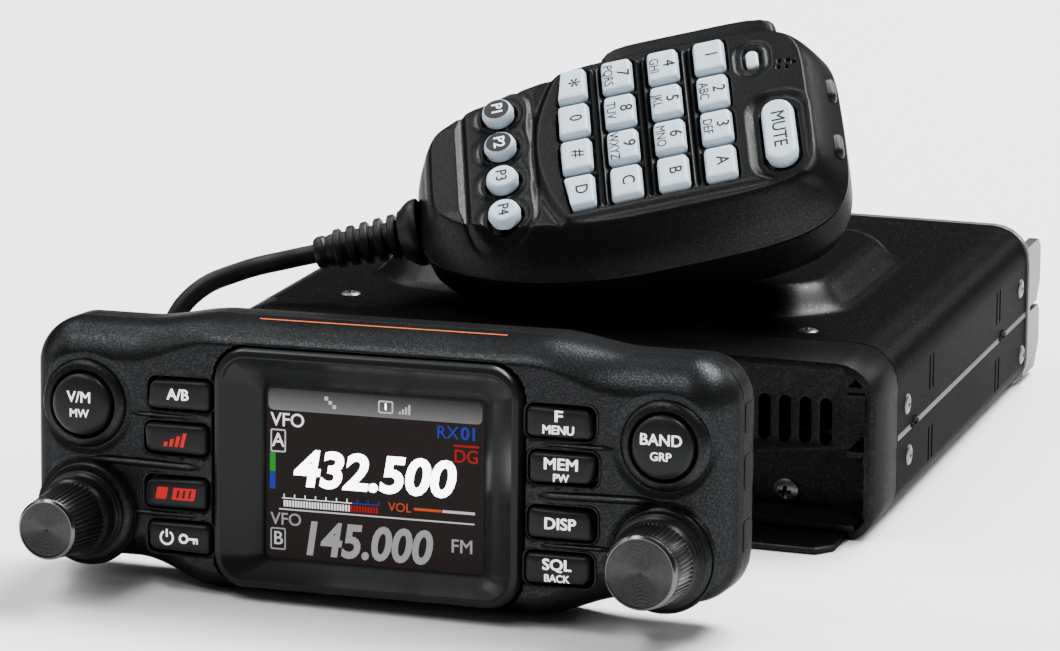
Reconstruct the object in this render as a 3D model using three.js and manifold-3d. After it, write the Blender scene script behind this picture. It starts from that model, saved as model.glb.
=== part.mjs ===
// A mobile transceiver: the radio unit, its separate control panel standing in front of it,
// and the hand microphone lying on top, with its cord plugged into the front of the unit.
// Millimetres, +X right, +Y to the rear, +Z up. The floor is at z = 0.
import * as THREE from "three";
import { mergeVertices } from "three/addons/utils/BufferGeometryUtils.js";
import Module from "manifold-3d";

const wasm = await Module();
wasm.setup();

// ---------- Driving dimensions ----------
const GAP = 0.3; // air between neighbouring pieces
const RUN = 0.35; // running clearance round keys, knobs and bars

// Radio unit
const UNIT_WIDTH = 139;
const UNIT_DEPTH = 132; // front face to rear flange
const UNIT_HEIGHT = 35.5; // without the raised field on the top cover
const SHOULDER_RADIUS = 8; // rounded top edges
const SOLE_RADIUS = 6; // rounded bottom edges
const FRAME_DEPTH = 17; // moulded front frame
const FRAME_WALL = 1.6;
const BAY_DEPTH = 11; // front face to the bay's rear wall
const BAY_WALL = 2;
const BAY_FLOOR = 1.8; // height of the bay's floor
const SHEET = 1.4; // metal covers
const SPLIT_HEIGHT = 16.4; // middle of the bright strip between the covers
const SPLIT_THICKNESS = 1.4;
const HUMP_HEIGHT = 5.5;
const HUMP_FRONT = 32.5;
const HUMP_REAR = 100;
const HUMP_HALF_WIDTH = 52;
const HUMP_SLOPE = 5.5;
const HUMP_CORNER = 10;
const LIP_REACH = 12.6; // floor plate in front of the bay
const LIP_LEFT = 20;
const LIP_RIGHT = 64;
const SIDE_SLOT_HEIGHT = 7.4;
const SIDE_SLOT_WIDTH = 1.1;
const SIDE_SLOT_PITCH = 4.2;
const SIDE_SLOT_DEPTHS = [44.5, 103];
const SIDE_SLOT_CENTRES = [24, 9];
const BAY_SLOT_PITCH = 4.2;
const BAY_SLOT_WIDTH = 2.5;
const BAY_SLOT_HEIGHT = 9.6;
const BAY_SLOT_CENTRE_Z = 20.6;
const BAY_SLOT_FIRST_X = 43.9;
const FLANGE_THICKNESS = 2;
const FIN_REACH = 14;
const FIN_THICKNESS = 2.2;
const FIN_PITCH = 5;
const FIN_FIELD_LEFT = 27;
const FAN_X = 2;
const FAN_Z = 17.8;
const FAN_RADIUS = 13.5;
const FAN_WALL = 1.6;
const FAN_HUB_RADIUS = 5.5;
const FAN_BLADES = 7;
const FAN_THICKNESS = 8;
const BOARD_REAR_SPACE = 24; // behind the main board
const SPEAKER_RADIUS = 18;
const SPEAKER_DEPTH = 12;
const ANTENNA_X = -46;
const ANTENNA_RADIUS = 8;
const INLET_X = -26;
const INLET_WIDTH = 12;
const INLET_HEIGHT = 13;

// Microphone socket and plug
const PLUG_X = 8;
const PLUG_Z = 14;
const PLUG_WIDTH = 11.6;
const PLUG_HEIGHT = 8;
const PLUG_REACH = 19; // how far the plug goes behind the front face
const PLUG_NOSE = 3; // how far its body stands in front of it
const PLUG_BOOT_END = 16.5;

// Control panel, in its own frame: x right, y into the panel, z up, face plane at y = 0
const PANEL_PLACE = new THREE.Vector3(-8, -73.3, 26.1);
const PANEL_LEAN = THREE.MathUtils.degToRad(-4.2);
const PANEL_ROLL = THREE.MathUtils.degToRad(-0.9);
const PANEL_HALF_WIDTH = 69.5;
const PANEL_THICKNESS = 18;
const PANEL_SPLIT = 9; // depth of the seam between its two shells
const PANEL_WALL = 2;
const PANEL_CAVITY = 5; // depth where the front shell's hollow starts
const WING_TOP = 24.8;
const WING_BOTTOM = -20.8;
const HUMP_TOP = 27;
const BULGE_BOTTOM = -25.4;
const BEZEL_WIDTH = 60.8;
const BEZEL_HEIGHT = 45.6;
const BEZEL_CENTRE_Z = -0.5;
const BEZEL_PROUD = 2;
const BEZEL_SEAT = 3;
const BEZEL_RADIUS = 6.5;
const WINDOW_WIDTH = 43.4;
const WINDOW_HEIGHT = 33;
const WINDOW_CENTRE_Z = -1.7;
const WINDOW_THICKNESS = 1.2;
const KEY_HEIGHT = 5.6;
const KEY_PROUD = 1.4;
const KEY_INNER = 6.6; // depth of a key's inner end
const KEY_WIDTH = 12.6;
const ROUND_KEY_RADIUS = 5.9;
const ROUND_KEY_X = 57.3;
const ROUND_KEY_Z = 9.4;
const KNOB_X = 57;
const KNOB_Z = -11.4;
const SHAFT_RADIUS = 3;
const COLLAR_HEIGHT = 0.8;

// Hand microphone, in its own frame: x to the top end, y to the talk bar's side, z out of the face
const MIC_PLACE = new THREE.Vector3(13.4, 27.6, 74.2);
const MIC_YAW = THREE.MathUtils.degToRad(13.9);
const MIC_PITCH = THREE.MathUtils.degToRad(-13.05);
const MIC_ROLL = THREE.MathUtils.degToRad(33.8);
const MIC_LENGTH = 88.5;
const MIC_CENTRE_X = -5.75;
const MIC_CENTRE_Y = -1;
const MIC_HALF_WIDTH = 29;
const MIC_TAPER = 0.36; // how much narrower the cord end is
const MIC_SEAM = -11; // height of the seam, below the face
const MIC_BACK = -27.5;
const MIC_WALL = 2;
const MIC_FACE_WALL = 3;
const PAD_PITCH_X = 9.6;
const PAD_PITCH_Y = 10.2;
const PAD_KEY_X = 6.6;
const PAD_KEY_Y = 8.9;
const PAD_KEY_PROUD = 1.6;
const PAD_KEY_INNER = -5;
const SIDE_ROW_X = -30;
const SIDE_ROW_Y = 12.4;
const SIDE_ROW_PITCH = 9.6;
const SIDE_KEY_RADIUS = 3.4;
const MUTE_X = 26.8;
const MUTE_Y = -9.8;
const MUTE_WIDTH = 6.8;
const MUTE_LENGTH = 17.6;
const TALK_START = -9;
const TALK_END = 28;
const STUD_LENGTH = 8.3;
const CORD_RADIUS = 2;
const BOOT_Y = -3;
const BOOT_Z = -13.5;
const BOOT_LENGTH = 22.5;

// Cord coil, lying flat in the gap behind the panel
const COIL_X = -16;
const COIL_Y = -28.5;
const COIL_INNER = 16;
const COIL_OUTER = 24;
const COIL_HEIGHT = 16.2;

// ---------- Tools ----------
function toSolid(geometry) {
  const bare = geometry.index ? geometry.toNonIndexed() : geometry.clone();
  bare.deleteAttribute("normal");
  bare.deleteAttribute("uv");
  const merged = mergeVertices(bare, 1e-4);
  const build = (triVerts) =>
    new wasm.Manifold(
      new wasm.Mesh({ numProp: 3, vertProperties: merged.attributes.position.array, triVerts }),
    );
  const triVerts = new Uint32Array(merged.index.array);
  const solid = build(triVerts);
  if (solid.volume() > 0) return solid;
  return build(triVerts.slice().reverse());
}

function toGeometry(solid) {
  const mesh = solid.getMesh();
  const geometry = new THREE.BufferGeometry();
  geometry.setAttribute("position", new THREE.BufferAttribute(mesh.vertProperties, 3));
  geometry.setIndex(new THREE.BufferAttribute(mesh.triVerts, 1));
  return geometry;
}

const fuse = (first, ...others) => others.reduce((sum, one) => sum.add(one), first);
const cut = (first, ...others) => others.reduce((rest, one) => rest.subtract(one), first);

function box(x0, x1, y0, y1, z0, z1) {
  const geometry = new THREE.BoxGeometry(x1 - x0, y1 - y0, z1 - z0);
  return toSolid(geometry.translate((x0 + x1) / 2, (y0 + y1) / 2, (z0 + z1) / 2));
}

function cylinderY(x, z, radius, y0, y1, sides = 24) {
  const geometry = new THREE.CylinderGeometry(radius, radius, y1 - y0, sides);
  return toSolid(geometry.translate(x, (y0 + y1) / 2, z));
}

function cylinderZ(x, y, radius, z0, z1, sides = 28) {
  const geometry = new THREE.CylinderGeometry(radius, radius, z1 - z0, sides);
  return toSolid(geometry.rotateX(Math.PI / 2).translate(x, y, (z0 + z1) / 2));
}

// A rectangle with its own radius at the top and at the bottom corners
function roundedRect(x0, x1, z0, z1, topRadius, bottomRadius = topRadius) {
  const shape = new THREE.Shape();
  shape.moveTo(x0 + bottomRadius, z0);
  shape.lineTo(x1 - bottomRadius, z0);
  shape.absarc(x1 - bottomRadius, z0 + bottomRadius, bottomRadius, -Math.PI / 2, 0);
  shape.lineTo(x1, z1 - topRadius);
  shape.absarc(x1 - topRadius, z1 - topRadius, topRadius, 0, Math.PI / 2);
  shape.lineTo(x0 + topRadius, z1);
  shape.absarc(x0 + topRadius, z1 - topRadius, topRadius, Math.PI / 2, Math.PI);
  shape.lineTo(x0, z0 + bottomRadius);
  shape.absarc(x0 + bottomRadius, z0 + bottomRadius, bottomRadius, Math.PI, Math.PI * 1.5);
  return shape;
}

// An outline in x and z, extruded along y from y0 to y1
function extrudeY(shape, y0, y1, curveSegments = 3) {
  const geometry = new THREE.ExtrudeGeometry(shape, {
    depth: y1 - y0,
    bevelEnabled: false,
    curveSegments,
  });
  return toSolid(geometry.rotateX(Math.PI / 2).translate(0, y1, 0));
}

// An outline in x and y, extruded along z from z0 to z1
function extrudeZ(shape, z0, z1, curveSegments = 5) {
  const geometry = new THREE.ExtrudeGeometry(shape, {
    depth: z1 - z0,
    bevelEnabled: false,
    curveSegments,
  });
  return toSolid(geometry.translate(0, 0, z0));
}

// A closed body through rings that all have the same number of points, with flat ends
function loft(rings) {
  const count = rings[0].length;
  const points = rings.flat();
  const faces = [];
  for (let level = 0; level + 1 < rings.length; level++) {
    for (let i = 0; i < count; i++) {
      const a = level * count + i;
      const b = level * count + ((i + 1) % count);
      faces.push(a, b, b + count, a, b + count, a + count);
    }
  }
  for (const level of [0, rings.length - 1]) {
    const centre = new THREE.Vector3();
    rings[level].forEach((point) => centre.addScaledVector(point, 1 / count));
    points.push(centre);
    const hub = points.length - 1;
    for (let i = 0; i < count; i++) {
      const a = level * count + i;
      const b = level * count + ((i + 1) % count);
      faces.push(...(level === 0 ? [b, a, hub] : [a, b, hub]));
    }
  }
  const geometry = new THREE.BufferGeometry().setFromPoints(points);
  geometry.setIndex(faces);
  return toSolid(geometry);
}

// The points of a shape in x and z, at depth y, with no two alike
function ringY(shape, y, segments = 3) {
  const points = shape.getPoints(segments);
  const apart = points.filter((p, i) => p.distanceTo(points[(i + 1) % points.length]) > 1e-6);
  return apart.map((p) => new THREE.Vector3(p.x, y, p.y));
}

function latheY(profile, segments = 24) {
  return toSolid(new THREE.LatheGeometry(profile.map(([r, y]) => new THREE.Vector2(r, y)), segments));
}

const finish = (color, roughness, metalness = 0) =>
  new THREE.MeshStandardMaterial({ color, roughness, metalness });
const FINISH = {
  blackMetal: finish(0x1b1b1d, 0.45, 0.6),
  castMetal: finish(0xb4b6ba, 0.4, 0.9),
  blackPlastic: finish(0x202226, 0.6),
  glossPlastic: finish(0x2a2c31, 0.3),
  keyBlack: finish(0x26282c, 0.5),
  keyPale: finish(0xc9d4de, 0.45),
  glass: finish(0x0b0908, 0.08),
  board: finish(0x1f5a34, 0.6),
  brightMetal: finish(0xc8c8cc, 0.3, 1),
  rubber: finish(0x17181a, 0.8),
  copper: finish(0x8a8c90, 0.5, 0.6),
};

const model = new THREE.Group();
const unit = new THREE.Group();
const panel = new THREE.Group();
const microphone = new THREE.Group();
panel.position.copy(PANEL_PLACE);
panel.rotation.set(PANEL_LEAN, PANEL_ROLL, 0, "XYZ");
microphone.position.copy(MIC_PLACE);
microphone.rotation.set(MIC_ROLL, MIC_PITCH, MIC_YAW, "ZYX");
model.add(unit, panel, microphone);
model.updateMatrixWorld(true);

function place(group, name, solid, material, x = 0, y = 0, z = 0) {
  const mesh = new THREE.Mesh(toGeometry(solid), material);
  mesh.name = name;
  mesh.position.set(x, y, z);
  group.add(mesh);
  return mesh;
}

// ---------- Radio unit ----------
const HALF = UNIT_WIDTH / 2;
const TOP = UNIT_HEIGHT;
const UPPER_START = SPLIT_HEIGHT + SPLIT_THICKNESS / 2;
const LOWER_END = SPLIT_HEIGHT - SPLIT_THICKNESS / 2;
const COVER_START = FRAME_DEPTH + GAP;
const COVER_END = UNIT_DEPTH - FLANGE_THICKNESS - GAP;
const unitOutline = (inset) =>
  roundedRect(
    -HALF + inset,
    HALF - inset,
    inset,
    TOP - inset,
    SHOULDER_RADIUS - inset,
    SOLE_RADIUS - inset,
  );

function sideSlots(centreZ) {
  return SIDE_SLOT_DEPTHS.flatMap((depth) =>
    [-SIDE_SLOT_PITCH / 2, SIDE_SLOT_PITCH / 2].map((shift) =>
      box(
        -HALF - 1,
        HALF + 1,
        depth + shift - SIDE_SLOT_WIDTH / 2,
        depth + shift + SIDE_SLOT_WIDTH / 2,
        centreZ - SIDE_SLOT_HEIGHT / 2,
        centreZ + SIDE_SLOT_HEIGHT / 2,
      ),
    ),
  );
}

function humpOutline(inset) {
  const side = HUMP_HALF_WIDTH - inset;
  const front = HUMP_FRONT + inset;
  const rear = HUMP_REAR - inset;
  const outline = [
    [-side + HUMP_CORNER, front],
    [side - HUMP_CORNER, front],
    [side, front + HUMP_CORNER],
    [side, rear - HUMP_CORNER],
    [side - HUMP_CORNER, rear],
    [-side + HUMP_CORNER, rear],
    [-side, rear - HUMP_CORNER],
    [-side, front + HUMP_CORNER],
  ];
  return (z) => outline.map(([x, y]) => new THREE.Vector3(x, y, z));
}

function makeTopCover() {
  const upper = box(-HALF - 1, HALF + 1, 0, UNIT_DEPTH, UPPER_START + GAP, TOP + HUMP_HEIGHT);
  const outside = extrudeY(unitOutline(0), COVER_START, COVER_END).intersect(upper);
  const inside = extrudeY(unitOutline(SHEET), COVER_START - 1, COVER_END + 1);
  const root = TOP - SHEET;
  const hump = loft([humpOutline(0)(root), humpOutline(0)(TOP), humpOutline(HUMP_SLOPE)(TOP + HUMP_HEIGHT)]);
  const hollow = loft([
    humpOutline(SHEET)(root - 1),
    humpOutline(SHEET)(TOP - SHEET),
    humpOutline(HUMP_SLOPE + SHEET)(TOP + HUMP_HEIGHT - SHEET),
  ]);
  return cut(fuse(cut(outside, inside), hump), hollow, ...sideSlots(SIDE_SLOT_CENTRES[0]));
}

function makeBottomCover() {
  const lower = box(-HALF - 1, HALF + 1, 0, UNIT_DEPTH, -1, LOWER_END - GAP);
  const outside = extrudeY(unitOutline(0), COVER_START, COVER_END).intersect(lower);
  const inside = extrudeY(unitOutline(SHEET), COVER_START - 1, COVER_END + 1);
  const lip = box(LIP_LEFT, LIP_RIGHT, -LIP_REACH, COVER_START + 1, 0, SHEET);
  return cut(fuse(cut(outside, inside), lip), ...sideSlots(SIDE_SLOT_CENTRES[1]));
}

function makeFrontFrame() {
  const shell = extrudeY(unitOutline(0), 0, FRAME_DEPTH);
  const bay = extrudeY(unitOutline(FRAME_WALL), -1, BAY_DEPTH);
  const rear = extrudeY(unitOutline(FRAME_WALL), BAY_DEPTH + BAY_WALL, FRAME_DEPTH + 1);
  const lipRoom = box(LIP_LEFT - GAP, LIP_RIGHT + GAP, -1, FRAME_DEPTH + 1, -1, SHEET + GAP);
  const lipRoof = box(LIP_LEFT - 2, LIP_RIGHT + 1.5, 0, FRAME_DEPTH, FRAME_WALL - 0.2, BAY_FLOOR + 1.2);
  const slots = [0, 1, 2, 3].map((i) => {
    const x = BAY_SLOT_FIRST_X + i * BAY_SLOT_PITCH;
    const slot = roundedRect(
      x - BAY_SLOT_WIDTH / 2,
      x + BAY_SLOT_WIDTH / 2,
      BAY_SLOT_CENTRE_Z - BAY_SLOT_HEIGHT / 2,
      BAY_SLOT_CENTRE_Z + BAY_SLOT_HEIGHT / 2,
      BAY_SLOT_WIDTH / 2 - 0.01,
    );
    return extrudeY(slot, BAY_DEPTH - 1, BAY_DEPTH + BAY_WALL + 1, 2);
  });
  const plugHole = box(
    PLUG_X - PLUG_WIDTH / 2 - GAP,
    PLUG_X + PLUG_WIDTH / 2 + GAP,
    BAY_DEPTH - 1,
    BAY_DEPTH + BAY_WALL + 1,
    PLUG_Z - PLUG_HEIGHT / 2 - GAP,
    PLUG_Z + PLUG_HEIGHT / 2 + GAP,
  );
  const catches = [29, 16].map((z) => box(HALF - 6.5, HALF - 1, 3, BAY_DEPTH + 0.5, z, z + 1.2));
  return cut(fuse(cut(shell, bay, rear), lipRoof, ...catches), lipRoom, ...slots, plugHole);
}

function makeChassis() {
  const strip = box(
    -HALF + 0.1,
    HALF - 0.1,
    COVER_START + 1,
    UNIT_DEPTH - 1,
    LOWER_END,
    UPPER_START,
  );
  const aboveSole = box(-HALF - 5, HALF + 5, 0, UNIT_DEPTH + 5, 0, TOP + 5);
  const rim = extrudeY(unitOutline(-0.4), UNIT_DEPTH - FLANGE_THICKNESS, UNIT_DEPTH);
  const flange = rim.intersect(aboveSole);
  const finCount = Math.floor((HALF - FIN_FIELD_LEFT) / FIN_PITCH);
  const fins = [];
  const outsideX = HALF - 0.6;
  for (let i = 0; i < finCount; i++) {
    const x = outsideX - i * FIN_PITCH;
    const reach = UNIT_DEPTH + FIN_REACH;
    const upper = new THREE.Shape();
    upper.moveTo(UNIT_DEPTH - 1, 16.6);
    upper.lineTo(reach - 3, 16.6);
    upper.lineTo(reach, 20.5);
    upper.lineTo(reach, 28.5);
    upper.lineTo(reach - 2.5, 30.6);
    upper.lineTo(UNIT_DEPTH - 1, 30.6);
    const lower = new THREE.Shape();
    lower.moveTo(UNIT_DEPTH - 1, 1.6);
    lower.lineTo(reach - 4, 1.6);
    lower.lineTo(reach, 6.5);
    lower.lineTo(reach, 14);
    lower.lineTo(reach - 1.5, 15.4);
    lower.lineTo(UNIT_DEPTH - 1, 15.4);
    for (const shape of [upper, lower]) {
      const geometry = new THREE.ExtrudeGeometry(shape, { depth: FIN_THICKNESS, bevelEnabled: false });
      geometry.rotateX(Math.PI / 2).rotateZ(Math.PI / 2);
      fins.push(toSolid(geometry.translate(x - FIN_THICKNESS, 0, 0)));
    }
  }
  const throat = cylinderY(FAN_X, FAN_Z, FAN_RADIUS, UNIT_DEPTH - 22, UNIT_DEPTH + FIN_REACH + 1, 30);
  const ring = cylinderY(FAN_X, FAN_Z, FAN_RADIUS + FAN_WALL, UNIT_DEPTH - 1, UNIT_DEPTH + FIN_REACH - 2, 30);
  const arms = [0, 1, 2].map((i) => {
    const arm = new THREE.BoxGeometry(2, 2, FAN_RADIUS + 1).translate(0, 0, (FAN_RADIUS + 1) / 2);
    arm.rotateY((i * Math.PI * 2) / 3).translate(FAN_X, UNIT_DEPTH - FLANGE_THICKNESS + 1, FAN_Z);
    return toSolid(arm);
  });
  const boss = cylinderY(FAN_X, FAN_Z, FAN_HUB_RADIUS - 1, UNIT_DEPTH - 2, UNIT_DEPTH, 20);
  const pin = cylinderY(FAN_X, FAN_Z, 1, UNIT_DEPTH - 1, UNIT_DEPTH + 5, 12);
  const jackRoom = box(PLUG_X - 10, PLUG_X + 10, FRAME_DEPTH - 1, 36, SPLIT_HEIGHT - 6, SPLIT_HEIGHT + 6);
  const bare = cut(fuse(strip, flange, ring, ...fins), throat, jackRoom);
  return fuse(bare, boss, pin, ...arms);
}

function makeMicrophoneJack() {
  const front = BAY_DEPTH + BAY_WALL + GAP;
  const side = PLUG_WIDTH / 2 + 1.8;
  const rise = PLUG_HEIGHT / 2 + 1.8;
  const house = box(PLUG_X - side, PLUG_X + side, front, PLUG_REACH + 4, PLUG_Z - rise, PLUG_Z + rise);
  const mouth = box(
    PLUG_X - PLUG_WIDTH / 2 - GAP,
    PLUG_X + PLUG_WIDTH / 2 + GAP,
    front - 1,
    PLUG_REACH + GAP,
    PLUG_Z - PLUG_HEIGHT / 2 - GAP,
    PLUG_Z + PLUG_HEIGHT / 2 + GAP,
  );
  return cut(house, mouth);
}

function makeMainBoard() {
  const z = UPPER_START + 1.2;
  const rear = UNIT_DEPTH - BOARD_REAR_SPACE;
  const board = box(-62, 62, 40, rear, z, z + 1.6);
  const cans = [
    box(-55, -25, 46, 76, z + 1, z + 7),
    box(28, 58, 48, rear - 16, z + 1, z + 8),
    box(-50, -30, rear - 24, rear - 6, z + 1, z + 6),
  ];
  return fuse(board, ...cans);
}

function makeSpeaker() {
  const bottom = TOP + HUMP_HEIGHT - SHEET - GAP - SPEAKER_DEPTH;
  const basket = cylinderZ(0, 66, SPEAKER_RADIUS, bottom + SPEAKER_DEPTH - 3, bottom + SPEAKER_DEPTH, 32);
  const magnet = cylinderZ(0, 66, SPEAKER_RADIUS * 0.55, bottom, bottom + SPEAKER_DEPTH - 2, 24);
  return fuse(basket, magnet);
}

function makeFanRotor() {
  const hub = latheY([[0, 0], [FAN_HUB_RADIUS, 0], [FAN_HUB_RADIUS, FAN_THICKNESS], [0, FAN_THICKNESS]], 20);
  const blades = Array.from({ length: FAN_BLADES }, (_, i) => {
    const reach = FAN_RADIUS - 0.6 - FAN_HUB_RADIUS + 1;
    const blade = new THREE.BoxGeometry(5, 1, reach).rotateZ(THREE.MathUtils.degToRad(38));
    blade.translate(0, FAN_THICKNESS / 2, FAN_HUB_RADIUS - 1 + reach / 2);
    return toSolid(blade.rotateY((i * Math.PI * 2) / FAN_BLADES));
  });
  const bore = latheY([[0, -1], [1 + GAP, -1], [1 + GAP, 5.5], [0, 5.5]], 12);
  return cut(fuse(hub, ...blades), bore);
}

function makeAntennaSocket() {
  const start = UNIT_DEPTH + GAP;
  const flange = box(ANTENNA_X - 11, ANTENNA_X + 11, start, start + 2, SPLIT_HEIGHT - 11, SPLIT_HEIGHT + 11);
  const barrel = cylinderY(ANTENNA_X, SPLIT_HEIGHT, ANTENNA_RADIUS, start + 1, start + 13.5, 32);
  const bore = cylinderY(ANTENNA_X, SPLIT_HEIGHT, ANTENNA_RADIUS - 1.8, start + 4, start + 14, 24);
  const insulator = cylinderY(ANTENNA_X, SPLIT_HEIGHT, 2.6, start + 3, start + 12, 16);
  return fuse(cut(fuse(flange, barrel), bore), insulator);
}

function makePowerInlet() {
  const start = UNIT_DEPTH + GAP;
  const left = INLET_X - INLET_WIDTH / 2;
  const low = SPLIT_HEIGHT - INLET_HEIGHT / 2;
  const block = box(left, left + INLET_WIDTH, start, start + 11, low, low + INLET_HEIGHT);
  const mouth = box(left + 1.5, left + INLET_WIDTH - 1.5, start + 3, start + 12, low + 1.5, low + INLET_HEIGHT - 1.5);
  const blades = [-3.3, 3.3].map((shift) =>
    box(INLET_X - 2.5, INLET_X + 2.5, start + 2, start + 9, SPLIT_HEIGHT + shift - 0.5, SPLIT_HEIGHT + shift + 0.5),
  );
  return fuse(cut(block, mouth), ...blades);
}

place(unit, "front_frame", makeFrontFrame(), FINISH.blackPlastic);
place(unit, "top_cover", makeTopCover(), FINISH.blackMetal);
place(unit, "bottom_cover", makeBottomCover(), FINISH.blackMetal);
place(unit, "chassis", makeChassis(), FINISH.castMetal);
place(unit, "main_board", makeMainBoard(), FINISH.board);
place(unit, "microphone_jack", makeMicrophoneJack(), FINISH.blackPlastic);
place(unit, "speaker", makeSpeaker(), FINISH.copper);
place(unit, "fan_rotor", makeFanRotor(), FINISH.blackPlastic, FAN_X, UNIT_DEPTH + 0.6, FAN_Z);
place(unit, "antenna_socket", makeAntennaSocket(), FINISH.brightMetal);
place(unit, "power_inlet", makePowerInlet(), FINISH.blackPlastic);

// ---------- Control panel ----------
function panelOutline(inset) {
  const side = PANEL_HALF_WIDTH - inset;
  const shape = new THREE.Shape();
  const wingTop = WING_TOP - inset;
  const wingBottom = WING_BOTTOM + inset;
  const top = HUMP_TOP - inset;
  const bottom = BULGE_BOTTOM + inset;
  const corner = 9 - inset;
  shape.moveTo(0, bottom);
  shape.lineTo(31, bottom);
  shape.bezierCurveTo(38, bottom, 41, wingBottom, 49, wingBottom);
  shape.lineTo(side - corner, wingBottom);
  shape.absarc(side - corner, wingBottom + corner, corner, -Math.PI / 2, 0);
  shape.lineTo(side, wingTop - corner);
  shape.absarc(side - corner, wingTop - corner, corner, 0, Math.PI / 2);
  shape.lineTo(49, wingTop);
  shape.bezierCurveTo(42, wingTop, 39, top, 32, top);
  shape.lineTo(-32, top);
  shape.bezierCurveTo(-39, top, -42, wingTop, -49, wingTop);
  shape.lineTo(-side + corner, wingTop);
  shape.absarc(-side + corner, wingTop - corner, corner, Math.PI / 2, Math.PI);
  shape.lineTo(-side, wingBottom + corner);
  shape.absarc(-side + corner, wingBottom + corner, corner, Math.PI, Math.PI * 1.5);
  shape.lineTo(-49, wingBottom);
  shape.bezierCurveTo(-41, wingBottom, -38, bottom, -31, bottom);
  return shape;
}

// What would reach below the floor is cut flat, so the leaning panel stands on its base
function aboveFloor(solid) {
  const floor = new THREE.BoxGeometry(400, 400, 40).translate(0, 0, -20);
  floor.applyMatrix4(panel.matrixWorld.clone().invert());
  return cut(solid, toSolid(floor));
}

const KEY_ROWS = [
  { z: 12.5, left: -37.5, right: 37.5, names: ["band_select_key", "function_key"] },
  { z: 4, left: -38.2, right: 38.1, names: ["group_monitor_key", "group_memory_key"] },
  { z: -6.3, left: -38.2, right: 38, names: ["digital_mode_key", "display_key"] },
  { z: -14.8, left: -37.5, right: 37.5, names: ["power_key", "squelch_key"] },
];

function keyBlock(width, height, clearance, front, back) {
  const shape = roundedRect(
    -width / 2 - clearance,
    width / 2 + clearance,
    -height / 2 - clearance,
    height / 2 + clearance,
    1.1 + clearance,
  );
  return extrudeY(shape, front, back, 1);
}

function panelHoles() {
  const holes = [];
  for (const row of KEY_ROWS) {
    holes.push(keyBlock(KEY_WIDTH, KEY_HEIGHT, RUN, -3, 10).translate(row.left, 0, row.z));
    holes.push(keyBlock(KEY_WIDTH, KEY_HEIGHT, RUN, -3, 10).translate(row.right, 0, row.z));
  }
  for (const side of [-1, 1]) {
    holes.push(cylinderY(side * ROUND_KEY_X, ROUND_KEY_Z, ROUND_KEY_RADIUS + RUN, -3, 10));
    holes.push(cylinderY(side * KNOB_X, KNOB_Z, SHAFT_RADIUS + RUN, -3, 10, 20));
  }
  return holes;
}

const bezelOutline = (clearance) =>
  roundedRect(
    -BEZEL_WIDTH / 2 - clearance,
    BEZEL_WIDTH / 2 + clearance,
    BEZEL_CENTRE_Z - BEZEL_HEIGHT / 2 - clearance,
    BEZEL_CENTRE_Z + BEZEL_HEIGHT / 2 + clearance,
    BEZEL_RADIUS,
  );

const windowOutline = (margin, radius = 1.2) =>
  roundedRect(
    -WINDOW_WIDTH / 2 - margin,
    WINDOW_WIDTH / 2 + margin,
    WINDOW_CENTRE_Z - WINDOW_HEIGHT / 2 - margin,
    WINDOW_CENTRE_Z + WINDOW_HEIGHT / 2 + margin,
    radius,
  );

function makePanelFront() {
  const body = loft([
    ringY(panelOutline(7), 0),
    ringY(panelOutline(4.4), 0.9),
    ringY(panelOutline(1), 4.6),
    ringY(panelOutline(0.2), 7),
    ringY(panelOutline(0), PANEL_SPLIT),
  ]);
  const hollow = extrudeY(panelOutline(PANEL_WALL), PANEL_CAVITY, PANEL_SPLIT + 1);
  const collars = [-1, 1].flatMap((side) => [
    cylinderY(side * ROUND_KEY_X, ROUND_KEY_Z, ROUND_KEY_RADIUS + 1.9, -COLLAR_HEIGHT, 3),
    cylinderY(side * KNOB_X, KNOB_Z, 9.4, -COLLAR_HEIGHT, 3),
  ]);
  const field = box(-BEZEL_WIDTH / 2 - 3, BEZEL_WIDTH / 2 + 3, 0, 4, BULGE_BOTTOM + 2.4, HUMP_TOP - 4.2);
  const keyField = box(-47, 47, 0, 4, WING_BOTTOM + 1, WING_TOP - 6.8);
  const recess = extrudeY(bezelOutline(GAP), -4, BEZEL_SEAT);
  const opening = extrudeY(windowOutline(1 + GAP), 0, 10);
  const shell = cut(fuse(body, field, keyField, ...collars), hollow, recess, opening, ...panelHoles());
  return aboveFloor(shell);
}

function makePanelRear() {
  const body = loft([
    ringY(panelOutline(0), PANEL_SPLIT + GAP),
    ringY(panelOutline(0), PANEL_THICKNESS - 2.5),
    ringY(panelOutline(1.8), PANEL_THICKNESS),
  ]);
  const hollow = extrudeY(panelOutline(PANEL_WALL), PANEL_SPLIT, PANEL_THICKNESS - PANEL_WALL);
  const socket = box(20, 34, PANEL_THICKNESS - 3.5, PANEL_THICKNESS + 1, -8, 4);
  const socketWall = box(18.5, 35.5, PANEL_THICKNESS - 5.3, PANEL_THICKNESS - 1, -9.5, 5.5);
  return aboveFloor(cut(fuse(cut(body, hollow), socketWall), socket));
}

function makeBezel() {
  const rim = loft([
    ringY(roundedRect(-29.6, 29.6, BEZEL_CENTRE_Z - 21.4, BEZEL_CENTRE_Z + 21.4, BEZEL_RADIUS - 1), -BEZEL_PROUD),
    ringY(bezelOutline(-0.3), -BEZEL_PROUD + 1.4),
    ringY(bezelOutline(0), BEZEL_SEAT - GAP),
  ]);
  const dish = loft([
    ringY(roundedRect(-28.3, 28.3, BEZEL_CENTRE_Z - 20, BEZEL_CENTRE_Z + 20, 6), -BEZEL_PROUD - 0.2),
    ringY(windowOutline(0, 1.2), BEZEL_SEAT),
  ]);
  return cut(rim, dish);
}

function makeWindow() {
  return extrudeY(windowOutline(1), BEZEL_SEAT, BEZEL_SEAT + WINDOW_THICKNESS);
}

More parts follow.
